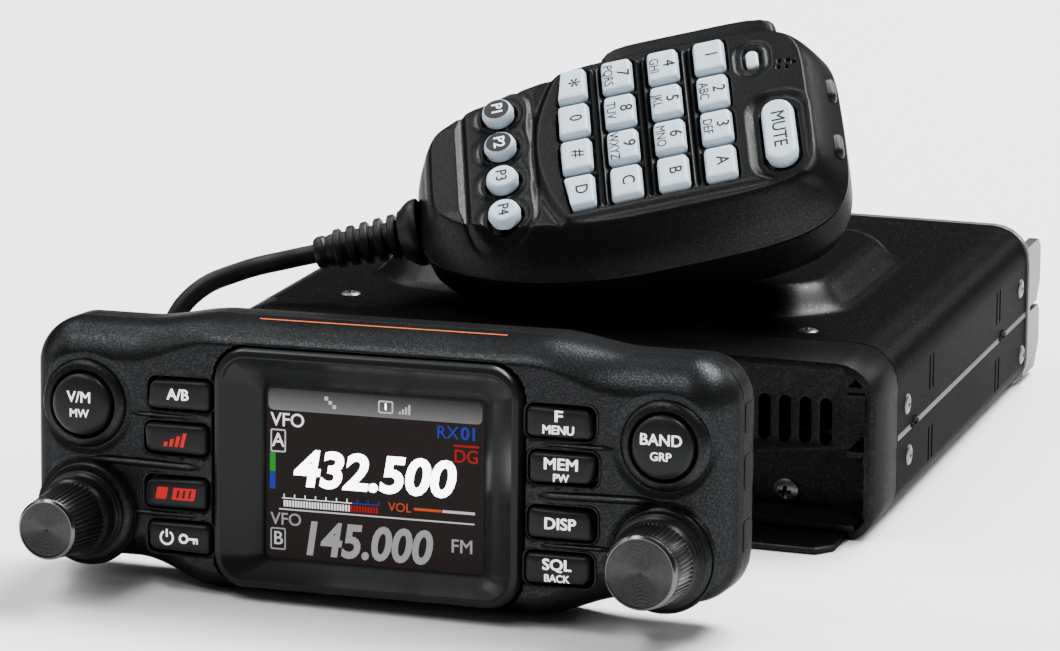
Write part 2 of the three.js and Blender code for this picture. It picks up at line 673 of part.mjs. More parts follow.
function makeDisplayModule() {
  const start = BEZEL_SEAT + WINDOW_THICKNESS + GAP;
  return box(-25, 25, start + 0.9, start + 3.2, WINDOW_CENTRE_Z - 19, WINDOW_CENTRE_Z + 19);
}

function makeControlBoard() {
  const start = 10.6;
  const board = box(-63, 63, start, start + 1.6, WING_BOTTOM + 5, WING_TOP - 6);
  const encoders = [-1, 1].flatMap((side) => [
    box(side * KNOB_X - 5.5, side * KNOB_X + 5.5, 5.6, start + 0.5, KNOB_Z - 5.2, KNOB_Z + 5.5),
    cylinderY(side * KNOB_X, KNOB_Z, SHAFT_RADIUS, -6, start, 20),
  ]);
  return fuse(board, ...encoders);
}

// A knob that points forward: a flared skirt, a fluted grip and a bevelled cap
function makeKnob(length, gripRadius, skirtRadius) {
  const back = -COLLAR_HEIGHT - RUN;
  const bore = SHAFT_RADIUS + GAP;
  return latheY([
    [0, -length],
    [gripRadius - 0.9, -length],
    [gripRadius, -length + 0.9],
    [gripRadius + 0.3, -length * 0.5],
    [gripRadius + 0.9, -length * 0.32],
    [skirtRadius - 0.7, back - 1.6],
    [skirtRadius, back],
    [bore, back],
    [bore, -6 - GAP],
    [0, -6 - GAP],
  ]);
}

place(panel, "panel_front_case", makePanelFront(), FINISH.blackPlastic);
place(panel, "panel_rear_case", makePanelRear(), FINISH.blackPlastic);
place(panel, "display_bezel", makeBezel(), FINISH.glossPlastic);
place(panel, "display_window", makeWindow(), FINISH.glass);
place(panel, "display_module", makeDisplayModule(), FINISH.copper);
place(panel, "control_board", makeControlBoard(), FINISH.board);
place(panel, "volume_knob", makeKnob(18.2, 5.5, 8.2), FINISH.keyBlack, -KNOB_X, 0, KNOB_Z);
place(panel, "dial_knob", makeKnob(13.2, 7, 8.7), FINISH.keyBlack, KNOB_X, 0, KNOB_Z);
for (const row of KEY_ROWS) {
  const key = keyBlock(KEY_WIDTH, KEY_HEIGHT, 0, -KEY_PROUD, KEY_INNER);
  place(panel, row.names[0], key, FINISH.keyBlack, row.left, 0, row.z);
  place(panel, row.names[1], key, FINISH.keyBlack, row.right, 0, row.z);
}
for (const [side, name] of [[-1, "memory_button"], [1, "band_button"]]) {
  const button = latheY([
    [0, -KEY_PROUD - 1],
    [ROUND_KEY_RADIUS - 0.8, -KEY_PROUD - 0.8],
    [ROUND_KEY_RADIUS, -KEY_PROUD],
    [ROUND_KEY_RADIUS, KEY_INNER],
    [0, KEY_INNER],
  ]);
  place(panel, name, button, FINISH.keyBlack, side * ROUND_KEY_X, 0, ROUND_KEY_Z);
}

// ---------- Hand microphone ----------
// The case's outline, drawn in from its widest section by insetX and insetY
function micRing(z, insetX, insetY, count = 40) {
  const halfLength = MIC_LENGTH / 2 - insetX;
  const halfWidth = MIC_HALF_WIDTH - insetY;
  const power = 2 / 4.5;
  return Array.from({ length: count }, (_, i) => {
    const angle = (i / count) * Math.PI * 2;
    const c = Math.cos(angle);
    const s = Math.sin(angle);
    const x = halfLength * Math.sign(c) * Math.abs(c) ** power;
    const towardCord = Math.max(0, (2 - x) / (MIC_LENGTH / 2));
    const y = halfWidth * Math.sign(s) * Math.abs(s) ** power * (1 - MIC_TAPER * towardCord ** 1.7);
    return new THREE.Vector3(MIC_CENTRE_X + x, MIC_CENTRE_Y + y, z);
  });
}

const PAD_LEGENDS = [
  ["1", "2", "3", "a"],
  ["4", "5", "6", "b"],
  ["7", "8", "9", "c"],
  ["star", "0", "hash", "d"],
];
const padX = (row) => (1.5 - row) * PAD_PITCH_X;
const padY = (column) => (1.5 - column) * PAD_PITCH_Y;
const sideY = (i) => SIDE_ROW_Y - i * SIDE_ROW_PITCH;

function padKey(clearance, z0, z1) {
  const x = PAD_KEY_X / 2 + clearance;
  const y = PAD_KEY_Y / 2 + clearance;
  return extrudeZ(roundedRect(-x, x, -y, y, 1 + clearance), z0, z1, 1);
}

function mutePill(clearance, z0, z1) {
  const x = MUTE_WIDTH / 2 + clearance;
  const y = MUTE_LENGTH / 2 + clearance;
  return extrudeZ(roundedRect(-x, x, -y, y, x - 0.01), z0, z1, 3);
}

const TALK_OUT = MIC_CENTRE_Y + MIC_HALF_WIDTH + 1.6;
const TALK_IN = MIC_CENTRE_Y + MIC_HALF_WIDTH - 4.5;
const talkBar = (clearance, inner, outer) =>
  box(TALK_START - clearance, TALK_END + clearance, inner, outer, -9.4 - clearance, -2.8 + clearance);
const END_OUT = MIC_CENTRE_X + MIC_LENGTH / 2 + 0.8;
const END_IN = END_OUT - 6;
const endButton = (centreY, clearance, inner, outer) =>
  box(inner, outer, centreY - 3 - clearance, centreY + 3 + clearance, -9 - clearance, -5 + clearance);

function makeMicFront() {
  const body = loft([
    micRing(MIC_SEAM, 0, 0),
    micRing(-7, 1.1, 1.8),
    micRing(-3.2, 2.8, 4),
    micRing(-0.9, 4.4, 5.6),
    micRing(0, 5.6, 6.8),
  ]);
  const hollow = loft([
    micRing(MIC_SEAM - 1, MIC_WALL, MIC_WALL),
    micRing(-7, MIC_WALL + 1.1, MIC_WALL + 1.8),
    micRing(-MIC_FACE_WALL, MIC_WALL + 3, MIC_WALL + 4.4),
  ]);
  const holes = [];
  for (let row = 0; row < 4; row++) {
    for (let column = 0; column < 4; column++) {
      holes.push(padKey(GAP, -6, 3).translate(padX(row), padY(column), 0));
    }
    holes.push(cylinderZ(SIDE_ROW_X, sideY(row), SIDE_KEY_RADIUS + RUN, -6, 3, 14));
  }
  holes.push(mutePill(RUN, -6, 3).translate(MUTE_X, MUTE_Y, 0));
  holes.push(talkBar(RUN, TALK_IN - 4, TALK_OUT + 4));
  holes.push(endButton(7, RUN, END_IN - 3, END_OUT + 3));
  holes.push(endButton(-9, RUN, END_IN - 3, END_OUT + 3));
  holes.push(bootRoom(MIC_SEAM - 8, 8));
  return cut(cut(body, hollow), ...holes);
}

// The square root of the strain relief passes through the case's cord end, half in each shell
const bootRoom = (z0, z1) => {
  const end = MIC_CENTRE_X - MIC_LENGTH / 2;
  const room = box(end - 4, end + 7, BOOT_Y - 6 - GAP, BOOT_Y + 6 + GAP, BOOT_Z - 6 - GAP, BOOT_Z + 6 + GAP);
  return room.intersect(box(end - 10, end + 20, -40, 40, z0, z1));
};

function makeMicRear() {
  const body = loft([
    micRing(MIC_BACK, 9, 11),
    micRing(MIC_BACK + 1.2, 5.6, 7.4),
    micRing(MIC_BACK + 4.2, 2.4, 3.4),
    micRing(MIC_BACK + 9, 0.5, 0.8),
    micRing(MIC_SEAM - GAP, 0, 0),
  ]);
  const hollow = loft([
    micRing(MIC_BACK + MIC_WALL, 10.5, 12),
    micRing(MIC_BACK + 5, 4.8, 5.6),
    micRing(MIC_SEAM + 1, MIC_WALL, MIC_WALL),
  ]);
  return cut(cut(body, hollow), bootRoom(-40, MIC_SEAM));
}

function makeMicBoard() {
  const sheet = loft([micRing(-9.4, 7, 7, 24), micRing(-8, 7, 7, 24)]);
  const board = sheet.intersect(box(-60, 32, -40, 40, -20, 0));
  const capsule = cylinderZ(27, 9.5, 4.8, -8.5, -MIC_FACE_WALL - GAP, 16);
  const talkRoom = box(TALK_START - 2, TALK_END + 2, TALK_IN - 3, 40, -12, 0);
  return cut(fuse(board, capsule), talkRoom);
}

function makeBoot() {
  const end = MIC_CENTRE_X - MIC_LENGTH / 2;
  const tip = end - BOOT_LENGTH;
  const profile = [
    [0, end + 1],
    [7, end + 1],
    [7, end - GAP],
    [6.6, end - 2.5],
    [4.8, end - 5.2],
    [4.2, end - 6],
  ];
  for (let rib = 0; rib < 5; rib++) {
    const start = end - 6 - rib * 2.2;
    const crest = 4.2 - rib * 0.12;
    profile.push([crest, start], [crest, start - 1.1], [2.7, start - 1.2], [2.7, start - 2.1]);
  }
  profile.push([3.5, end - 17.1], [3.4, tip], [0, tip]);
  const rod = new THREE.LatheGeometry(profile.map(([r, x]) => new THREE.Vector2(r, x)), 14);
  rod.rotateZ(-Math.PI / 2).translate(0, BOOT_Y, BOOT_Z);
  const round = toSolid(rod);
  const keep = box(tip - 1, end - GAP, -30, 30, -40, 20);
  const tail = box(end - 1.5, end + 6, BOOT_Y - 6, BOOT_Y + 6, BOOT_Z - 6, BOOT_Z + 6);
  return fuse(round.intersect(keep), tail);
}

function makeStud() {
  const start = MIC_BACK - GAP;
  const profile = [
    [0, start],
    [4, start],
    [4, start - STUD_LENGTH + 2.5],
    [7, start - STUD_LENGTH + 2],
    [7, start - STUD_LENGTH + 0.8],
    [6, start - STUD_LENGTH],
    [0, start - STUD_LENGTH],
  ];
  const lathe = new THREE.LatheGeometry(profile.map(([r, z]) => new THREE.Vector2(r, z)), 20);
  return toSolid(lathe.rotateX(Math.PI / 2));
}

place(microphone, "mic_front_case", makeMicFront(), FINISH.blackPlastic);
place(microphone, "mic_rear_case", makeMicRear(), FINISH.blackPlastic);
place(microphone, "mic_board", makeMicBoard(), FINISH.board);
place(microphone, "hanger_stud", makeStud(), FINISH.brightMetal);
place(microphone, "cord_boot", makeBoot(), FINISH.rubber);
place(microphone, "talk_bar", talkBar(0, TALK_IN, TALK_OUT), FINISH.blackPlastic);
place(microphone, "mute_key", mutePill(0, PAD_KEY_INNER, PAD_KEY_PROUD), FINISH.keyPale, MUTE_X, MUTE_Y, 0);
place(microphone, "up_button", endButton(7, 0, END_IN, END_OUT), FINISH.keyBlack);
place(microphone, "down_button", endButton(-9, 0, END_IN, END_OUT), FINISH.keyBlack);
PAD_LEGENDS.forEach((legends, row) =>
  legends.forEach((legend, column) => {
    const key = padKey(0, PAD_KEY_INNER, PAD_KEY_PROUD);
    place(microphone, `pad_key_${legend}`, key, FINISH.keyPale, padX(row), padY(column), 0);
  }),
);
for (let i = 0; i < 4; i++) {
  const key = cylinderZ(0, 0, SIDE_KEY_RADIUS, PAD_KEY_INNER, PAD_KEY_PROUD, 14);
  place(microphone, `preset_key_${i + 1}`, key, FINISH.keyPale, SIDE_ROW_X, sideY(i), 0);
}

// ---------- Cord ----------
const bootTip = microphone.localToWorld(
  new THREE.Vector3(MIC_CENTRE_X - MIC_LENGTH / 2 - BOOT_LENGTH - GAP, BOOT_Y, BOOT_Z),
);
const bootNext = microphone.localToWorld(
  new THREE.Vector3(MIC_CENTRE_X - MIC_LENGTH / 2 - BOOT_LENGTH - 5, BOOT_Y, BOOT_Z),
);
// Over the unit's left edge, down to the floor and in front of the bay, to the coil
const CORD_ROUTE = [
  bootTip,
  bootNext,
  new THREE.Vector3(-67.2, 8, 42.2),
  new THREE.Vector3(-74.5, 3, 38.6),
  new THREE.Vector3(-78.4, -1, 32.3),
  new THREE.Vector3(-79, -3.2, 25),
  new THREE.Vector3(-79.6, -4.6, 17.5),
  new THREE.Vector3(-78.8, -5.2, 10.5),
  new THREE.Vector3(-75.6, -5.1, 5),
  new THREE.Vector3(-70, -4.8, 2.6),
  new THREE.Vector3(-62.5, -4.6, 2.1),
  new THREE.Vector3(-55, -4.4, 2.1),
  new THREE.Vector3(-47.6, -4.8, 2.1),
  new THREE.Vector3(-41.2, -8, 2.1),
  new THREE.Vector3(-38.3, -13.8, 2.1),
];

function makeCord() {
  const section = new THREE.Shape();
  section.absarc(0, 0, CORD_RADIUS, 0, Math.PI * 2);
  const extrudePath = new THREE.CatmullRomCurve3(CORD_ROUTE, false, "centripetal");
  return toSolid(new THREE.ExtrudeGeometry(section, { steps: 22, curveSegments: 4, extrudePath }));
}

function makeCoil() {
  const chamfer = 1.2;
  const profile = [
    [COIL_INNER + chamfer, 0],
    [COIL_OUTER - chamfer, 0],
    [COIL_OUTER, chamfer],
    [COIL_OUTER, COIL_HEIGHT - chamfer],
    [COIL_OUTER - chamfer, COIL_HEIGHT],
    [COIL_INNER + chamfer, COIL_HEIGHT],
    [COIL_INNER, COIL_HEIGHT - chamfer],
    [COIL_INNER, chamfer],
    [COIL_INNER + chamfer, 0],
  ];
  const ring = new THREE.LatheGeometry(profile.map(([r, z]) => new THREE.Vector2(r, z)), 32);
  return toSolid(ring.rotateX(Math.PI / 2).translate(COIL_X, COIL_Y, 0));
}

function makePlug() {
  const body = box(
    PLUG_X - PLUG_WIDTH / 2,
    PLUG_X + PLUG_WIDTH / 2,
    -PLUG_NOSE,
    PLUG_REACH,
    PLUG_Z - PLUG_HEIGHT / 2,
    PLUG_Z + PLUG_HEIGHT / 2,
  );
  const boot = latheY([[0, -PLUG_BOOT_END], [2.5, -PLUG_BOOT_END], [3.4, -PLUG_NOSE + 1], [0, -PLUG_NOSE + 1]], 16);
  return fuse(body, boot.translate(PLUG_X, 0, PLUG_Z));
}

place(unit, "mic_cord", makeCord(), FINISH.rubber);
place(unit, "mic_cord_coil", makeCoil(), FINISH.rubber);
place(unit, "mic_plug", makePlug(), FINISH.glossPlastic);

// ---------- The part's frame: origin under the middle of the object, cord left out ----------
model.updateMatrixWorld(true);
const CORD_NODES = ["mic_cord", "mic_cord_coil", "mic_plug"];
const bounds = new THREE.Box3();
model.traverse((piece) => {
  if (piece.isMesh && !CORD_NODES.includes(piece.name)) {
    bounds.expandByObject(piece, true);
  }
});
model.position.set(-(bounds.min.x + bounds.max.x) / 2, -(bounds.min.y + bounds.max.y) / 2, -bounds.min.z);
const part = new THREE.Group();
part.add(model);

export default part;
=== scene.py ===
"""A mobile transceiver: main unit, free-standing control panel and a corded hand microphone."""
import math

import bmesh
import bpy
import numpy as np
from mathutils import Matrix, Vector


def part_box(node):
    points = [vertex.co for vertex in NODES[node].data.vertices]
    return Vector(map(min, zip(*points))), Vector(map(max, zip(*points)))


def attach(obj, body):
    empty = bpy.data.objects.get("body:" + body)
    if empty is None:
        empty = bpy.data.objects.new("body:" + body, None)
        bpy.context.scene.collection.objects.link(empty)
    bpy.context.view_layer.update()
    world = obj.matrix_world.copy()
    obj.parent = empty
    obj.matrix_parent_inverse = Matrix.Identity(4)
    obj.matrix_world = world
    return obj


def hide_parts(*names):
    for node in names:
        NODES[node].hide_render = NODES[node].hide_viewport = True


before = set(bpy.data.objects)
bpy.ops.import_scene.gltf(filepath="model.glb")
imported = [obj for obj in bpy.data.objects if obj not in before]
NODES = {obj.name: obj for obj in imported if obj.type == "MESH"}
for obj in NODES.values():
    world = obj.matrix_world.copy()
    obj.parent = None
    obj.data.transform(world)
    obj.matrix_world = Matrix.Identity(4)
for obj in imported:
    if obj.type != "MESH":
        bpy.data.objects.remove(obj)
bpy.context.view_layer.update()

# ---------- Frames of the three pieces of equipment, in millimetres ----------
MM = 0.001
frame_low, frame_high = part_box("front_frame")
UNIT = Matrix.Translation(((frame_low[0] + frame_high[0]) / 2, frame_low[1], 0)) @ Matrix.Scale(MM, 4)


def turned(place, degrees, axis):
    return place @ Matrix.Rotation(math.radians(degrees), 4, axis)


PANEL = turned(turned(UNIT @ Matrix.Translation((-8, -73.3, 26.1)), -4.2, "X"), -0.9, "Y")
MIC = turned(turned(turned(UNIT @ Matrix.Translation((13.4, 27.6, 74.2)), 13.9, "Z"), -13.05, "Y"), 33.8, "X")

UNIT_WIDTH = 139
UNIT_HALF = UNIT_WIDTH / 2
UNIT_HEIGHT = 35.5
SHOULDER = 8
SOLE = 6
FRAME_WALL = 1.6
BAY_DEPTH = 11
SPLIT_LOW = 15.7
SPLIT_HIGH = 17.1
HUMP_HALF_WIDTH = 52
HUMP_FRONT = 32.5
HUMP_REAR = 100
HUMP_HEIGHT = 5.5
PANEL_HALF = 69.5
KEY_WIDTH = 12.6
KEY_HEIGHT = 5.6
KNOB_X = 57
KNOB_Z = -11.4
ROUND_X = 57.3
ROUND_Z = 9.4
ROUND_RADIUS = 5.9
BEZEL_WIDTH = 60.8
BEZEL_HEIGHT = 45.6
BEZEL_Z = -0.5
SCREEN_WIDTH = 42.4
SCREEN_HEIGHT = 32
SCREEN_Z = -1.7
MIC_CENTRE_X = -5.75
MIC_CENTRE_Y = -1
MIC_HALF_LENGTH = 44.25
MIC_HALF_WIDTH = 29
MIC_TAPER = 0.36
MIC_SEAM = -11
MIC_BACK = -27.5
CORD_DIAMETER = 4


# ---------- Camera ----------
def make_camera():
    camera = bpy.data.cameras.new("camera")
    camera.lens = 155.8
    camera.sensor_width = 36
    camera.clip_end = 20
    eye = bpy.data.objects.new("camera", camera)
    bpy.context.scene.collection.objects.link(eye)
    spot = UNIT @ Vector((286.5, -836.6, 254.3))
    azimuth, elevation, roll = math.radians(19.0), math.radians(13.735), math.radians(0.068)
    look = Matrix.Rotation(azimuth, 4, "Z") @ Matrix.Rotation(math.pi / 2 - elevation, 4, "X")
    eye.matrix_world = Matrix.Translation(spot) @ look @ Matrix.Rotation(roll, 4, "Z")
    bpy.context.scene.camera = eye


make_camera()


# ---------- Materials ----------
class Socket:
    """A node's output, so that shader maths reads as an expression."""

    def __init__(self, shader, output):
        self.shader = shader
        self.output = output

    def _math(self, operation, first, second):
        return self.shader.node("ShaderNodeMath", {"operation": operation}, {0: first, 1: second})

    def __add__(self, other):
        return self._math("ADD", self, other)

    __radd__ = __add__

    def __sub__(self, other):
        return self._math("SUBTRACT", self, other)

    def __rsub__(self, other):
        return self._math("SUBTRACT", other, self)

    def __mul__(self, other):
        return self._math("MULTIPLY", self, other)

    __rmul__ = __mul__


class Finish:
    """One material and its node tree."""

    def __init__(self, name):
        self.material = bpy.data.materials.new(name)
        self.material.use_nodes = True
        self.tree = self.material.node_tree
        self.surface = next(n for n in self.tree.nodes if n.type == "BSDF_PRINCIPLED")

    def node(self, kind, settings=None, values=None, output=0):
        made = self.tree.nodes.new(kind)
        for key, value in (settings or {}).items():
            if key == "stops":
                ramp = made.color_ramp
                for element, (at, grey) in zip((ramp.elements[0], ramp.elements[1]), value):
                    element.position = at
                    element.color = (grey, grey, grey, 1)
            else:
                setattr(made, key, value)
        for key, value in (values or {}).items():
            self.feed(made.inputs[key], value)
        return Socket(self, made.outputs[output])

    def feed(self, target, value):
        if isinstance(value, Socket):
            self.tree.links.new(value.output, target)
        else:
            target.default_value = value

    def set(self, **values):
        names = {"color": "Base Color", "emission": "Emission Color", "glow": "Emission Strength"}
        names.update(coat="Coat Weight", coat_roughness="Coat Roughness", specular="Specular IOR Level")
        names.update(subsurface="Subsurface Weight", edge="Specular Tint")
        for key, value in values.items():
            self.feed(self.surface.inputs[names.get(key, key.capitalize())], value)
        return self

    def place(self, scale=(1, 1, 1), location=(0, 0, 0), rotation=(0, 0, 0)):
        where = self.node("ShaderNodeTexCoord", output="Object")
        values = {"Vector": where, "Scale": scale, "Location": location, "Rotation": rotation}
        return self.node("ShaderNodeMapping", {"vector_type": "POINT"}, values)

    def noise(self, scale, detail=2, roughness=0.5, where=None):
        values = {"Vector": where or self.place(), "Scale": scale, "Detail": detail, "Roughness": roughness}
        return self.node("ShaderNodeTexNoise", {}, values)

    def ramp(self, value, low, high, dark=0, light=1):
        return self.node("ShaderNodeValToRGB", {"stops": [(low, dark), (high, light)]}, {"Fac": value})

    def mix(self, factor, first, second):
        settings = {"data_type": "RGBA"}
        return self.node("ShaderNodeMix", settings, {"Factor": factor, 6: first, 7: second}, output=2)

    def bump(self, height, strength, distance, normal=None):
        values = {"Height": height, "Strength": strength, "Distance": distance}
        if normal:
            values["Normal"] = normal
        return self.node("ShaderNodeBump", {}, values)


def grey(value, blue=1.0):
    return (value, value * (1 + (blue - 1) / 2), value * blue, 1)


EDGE_HELD_BACK = (0.22, 0.22, 0.22, 1)
STATUS_FADE = 240.0


def pebbled(name, color, lighter_tone_and_sheen, roughness, grain, depth):
    """Moulded black with an etched grain: fine pebbles over slow waves; the colour is lighter at random with
    the waves and carries a painted sheen on the crests.
    """
    finish = Finish(name)
    pebbles = finish.node(
        "ShaderNodeTexVoronoi",
        {"feature": "SMOOTH_F1"},
        {"Vector": finish.place(), "Scale": grain, "Smoothness": 0.6},
    )
    fine = finish.noise(grain * 1.7, 2, 0.6)
    cloud = finish.noise(60, 3)
    height = pebbles * 0.7 + fine * 0.5
    # Painted sheen: the pebble crests get a lighter colour, beside the random lighter tone of the waves.
    crest = finish.ramp(height, 0.45, 0.85)
    finish.set(
        color=finish.mix(crest * 0.5 + cloud * 0.3, color, lighter_tone_and_sheen),
        roughness=roughness + (cloud - 0.5) * 0.12 - crest * 0.06,
        normal=finish.bump(height, 0.6, depth),
        metallic=0.8,
        specular=0.12,
        edge=EDGE_HELD_BACK,
    )
    return finish.material


def smooth_plastic(name, color, roughness, coat=0.0, waviness=0.05):
    finish = Finish(name)
    cloud = finish.noise(45, 3)
    fine = finish.noise(2600, 2)
    finish.set(
        color=finish.mix(cloud * 0.35, color, tuple(c * 1.5 for c in color[:3]) + (1,)),
        roughness=roughness + (cloud - 0.5) * 0.08,
        normal=finish.bump(fine, waviness, 0.00003),
        coat=coat,
        coat_roughness=0.15,
        specular=0.13,
    )
    return finish.material


def enamel(name):
    """Satin black stove enamel on sheet metal, with a fine metallic fleck and faint orange peel."""
    finish = Finish(name)
    fleck = finish.ramp(finish.noise(5200, 1, 0.4), 0.68, 0.76)
    cloud = finish.noise(28, 4)
    peel = finish.noise(900, 2)
    finish.set(
        color=finish.mix(fleck, grey(0.016), grey(0.12)),
        roughness=0.36 + (cloud - 0.5) * 0.1,
        metallic=0.9,
        normal=finish.bump(peel, 0.15, 0.00006),
        specular=0.1,
        edge=EDGE_HELD_BACK,
    )
    return finish.material


def casting(name):
    """Bare die-cast alloy with a sandy skin and a little staining."""
    finish = Finish(name)
    sand = finish.noise(1500, 3, 0.65)
    stain = finish.noise(70, 4)
    finish.set(
        color=finish.mix(stain, grey(0.055), grey(0.11, 1.03)),
        roughness=0.34 + stain * 0.16,
        metallic=0.95,
        normal=finish.bump(sand, 0.3, 0.00006),
    )
    return finish.material


def plated(name, value, roughness):
    finish = Finish(name)
    cloud = finish.noise(160, 3)
    finish.set(color=finish.mix(cloud, grey(value * 0.85), grey(value)), metallic=1.0)
    finish.set(roughness=roughness + cloud * 0.12)
    return finish.material


def flat_print(name, color, glow=0.0):
    """Screen-printed ink: slightly uneven in strength, with a painted glow of its own colour as strong as
    glow.
    """
    finish = Finish(name)
    uneven = finish.noise(1800, 2)
    dim = tuple(c * 0.88 for c in color[:3]) + (1,)
    ink = finish.mix(uneven, dim, color)
    # Painted glow: the ink's own colour is also given off as light.
    finish.set(color=ink, roughness=0.55, specular=0.2, emission=ink, glow=glow)
    return finish.material


def lit(name, color, strength):
    """A lit stretch of the display, crossed by fine rows."""
    finish = Finish(name)
    rows = finish.node(
        "ShaderNodeTexWave",
        {"wave_type": "BANDS", "bands_direction": "Z"},
        {"Vector": finish.place(), "Scale": 900.0, "Distortion": 0.0},
    )
    dim = tuple(c * 0.93 for c in color[:3]) + (1,)
    finish.set(color=grey(0.005), roughness=0.6, specular=0.1)
    finish.set(emission=finish.mix(rows, dim, color), glow=strength)
    return finish.material


def screen_ground(name):
    """The unlit display: very dark warm brown under a clear cover."""
    finish = Finish(name)
    cloud = finish.noise(50, 2)
    finish.set(color=finish.mix(cloud, (0.003, 0.002, 0.0018, 1), (0.005, 0.003, 0.0025, 1)))
    finish.set(roughness=0.5, specular=0.12, emission=(0.016, 0.0085, 0.0075, 1), glow=0.42)
    return finish.material


def status_bar_finish(top):
    """Fades from dark at the bar's top to grey at its foot."""
    finish = Finish("display_status")
    spot = PANEL @ Vector((0, 3.3, top))
    split = finish.tree.nodes.new("ShaderNodeSeparateXYZ")
    finish.feed(split.inputs[0], finish.place(location=(0, 0, -spot[2])))
    share = Socket(finish, split.outputs["Z"]) * -STATUS_FADE
    finish.set(color=grey(0.005), specular=0.1, roughness=0.6)
    finish.set(emission=finish.mix(share, grey(0.03), grey(0.2)), glow=1.0)
    return finish.material


def spun_cap(name, centre):
    """The finish of a cap turned on a lathe, its uneven tone placed about the knob's own axis; the fine rings
    are in the cap's shape.
    """
    finish = Finish(name)
    spot = PANEL @ Vector(centre)
    where = finish.place(location=tuple(-c for c in spot))
    uneven = finish.noise(900.0, 3, 0.6, where)
    finish.set(
        color=finish.mix(uneven, grey(0.022), grey(0.045)),
        roughness=0.2 + uneven * 0.06,
        metallic=1.0,
    )
    return finish.material


def translucent_key(name):
    """Pale backlit silicone-and-plastic keys."""
    finish = Finish(name)
    cloud = finish.noise(120, 3)
    fine = finish.noise(3000, 2)
    finish.set(
        color=finish.mix(cloud, (0.43, 0.53, 0.62, 1), (0.53, 0.62, 0.70, 1)),
        roughness=0.42 + (cloud - 0.5) * 0.1,
        subsurface=0.25,
        normal=finish.bump(fine, 0.06, 0.00003),
        emission=(0.5, 0.6, 0.7, 1),
        glow=0.06,
    )
    finish.surface.inputs["Subsurface Radius"].default_value = (0.002, 0.0022, 0.0025)
    return finish.material


def board_green(name):
    finish = Finish(name)
    tracks = finish.node(
        "ShaderNodeTexBrick",
        {},
        {"Vector": finish.place(), "Scale": 120.0, "Mortar Size": 0.03},
        output="Fac",
    )
    finish.set(color=finish.mix(tracks, (0.01, 0.08, 0.03, 1), (0.03, 0.16, 0.06, 1)))
    finish.set(roughness=0.4 + tracks * 0.1, coat=0.3)
    return finish.material


def floor_paper(name):
    finish = Finish(name)
    cloud = finish.noise(3, 2)
    finish.set(color=finish.mix(cloud, grey(0.86), grey(0.88)), roughness=0.75)
    return finish.material


PANEL_BLACK = pebbled("panel_grained_black", grey(0.010, 1.1), grey(0.036, 1.1), 0.38, 2300, 0.00008)
FRAME_BLACK = pebbled("frame_grained_black", grey(0.008, 1.04), grey(0.026, 1.04), 0.4, 2000, 0.00009)
MIC_BLACK = pebbled("microphone_fine_black", grey(0.008, 1.02), grey(0.034, 1.02), 0.36, 3600, 0.00007)
BEZEL_BLACK = smooth_plastic("bezel_satin_black", grey(0.0065, 1.15), 0.32, 0.05, 0.1)
KEY_BLACK = smooth_plastic("key_black", grey(0.008, 1.15), 0.36, 0.0, 0.12)
WELL_BLACK = smooth_plastic("well_black", grey(0.002), 0.6)
KNOB_BLACK = smooth_plastic("knob_black", grey(0.006, 1.1), 0.34)
CORD_BLACK = smooth_plastic("cord_black", grey(0.006, 1.05), 0.4, 0.0, 0.2)
ENAMEL = enamel("unit_black_enamel")
CAST = casting("cast_alloy")
NICKEL = plated("nickel_plate", 0.5, 0.2)
NICKEL_DARK = plated("dark_chrome_rim", 0.1, 0.16)
SCREW_BLACK = plated("blackened_screw", 0.13, 0.26)
SCREW_SILVER = plated("grey_plated_screw", 0.14, 0.3)
STEEL = plated("speaker_steel", 0.4, 0.35)
# The white, red and orange inks carry a painted glow; the dark ink does not.
WHITE_INK_AND_GLOW = flat_print("white_legend", (0.9, 0.91, 0.93, 1), 0.9)
RED_INK_AND_GLOW = flat_print("red_legend", (0.55, 0.002, 0.005, 1), 0.18)
DARK_INK = flat_print("dark_legend", (0.006, 0.006, 0.008, 1))
ORANGE_INK_AND_GLOW = flat_print("orange_line", (0.55, 0.09, 0.01, 1), 0.12)
KEY_PALE = translucent_key("microphone_pale_key")
BOARD = board_green("circuit_board")
SCREEN = screen_ground("display_ground")
LIT_WHITE = lit("display_white", (0.95, 0.95, 0.95, 1), 9.0)
LIT_GREY = lit("display_grey", (0.3, 0.3, 0.3, 1), 1.25)
LIT_PALE = lit("display_pale", (0.8, 0.8, 0.8, 1), 1.9)
LIT_SOFT = lit("display_soft_grey", (0.55, 0.55, 0.55, 1), 1.3)
LIT_GREEN = lit("display_green", (0.01, 0.36, 0.03, 1), 0.9)
LIT_BLUE = lit("display_blue", (0.02, 0.04, 0.55, 1), 0.75)
LIT_RED = lit("display_red", (0.85, 0.002, 0.004, 1), 0.55)
LIT_ORANGE = lit("display_orange", (0.95, 0.09, 0.006, 1), 0.8)


# ---------- Mesh tools ----------
def piece(name, points, faces, place, material, body, sharp=35):
    """A finished piece: its points are millimetres in the frame that place gives."""
    mesh = bpy.data.meshes.new(name)
    world = [place @ Vector(p) for p in points]
    mesh.from_pydata(world, [], faces)
    mesh.validate()
    return finished(name, mesh, material, body, sharp)


def shaded(mesh, sharp):
    """Smooth shading, broken at edges sharper than an angle."""
    mesh.polygons.foreach_set("use_smooth", [True] * len(mesh.polygons))
    mesh.set_sharp_from_angle(angle=math.radians(sharp))


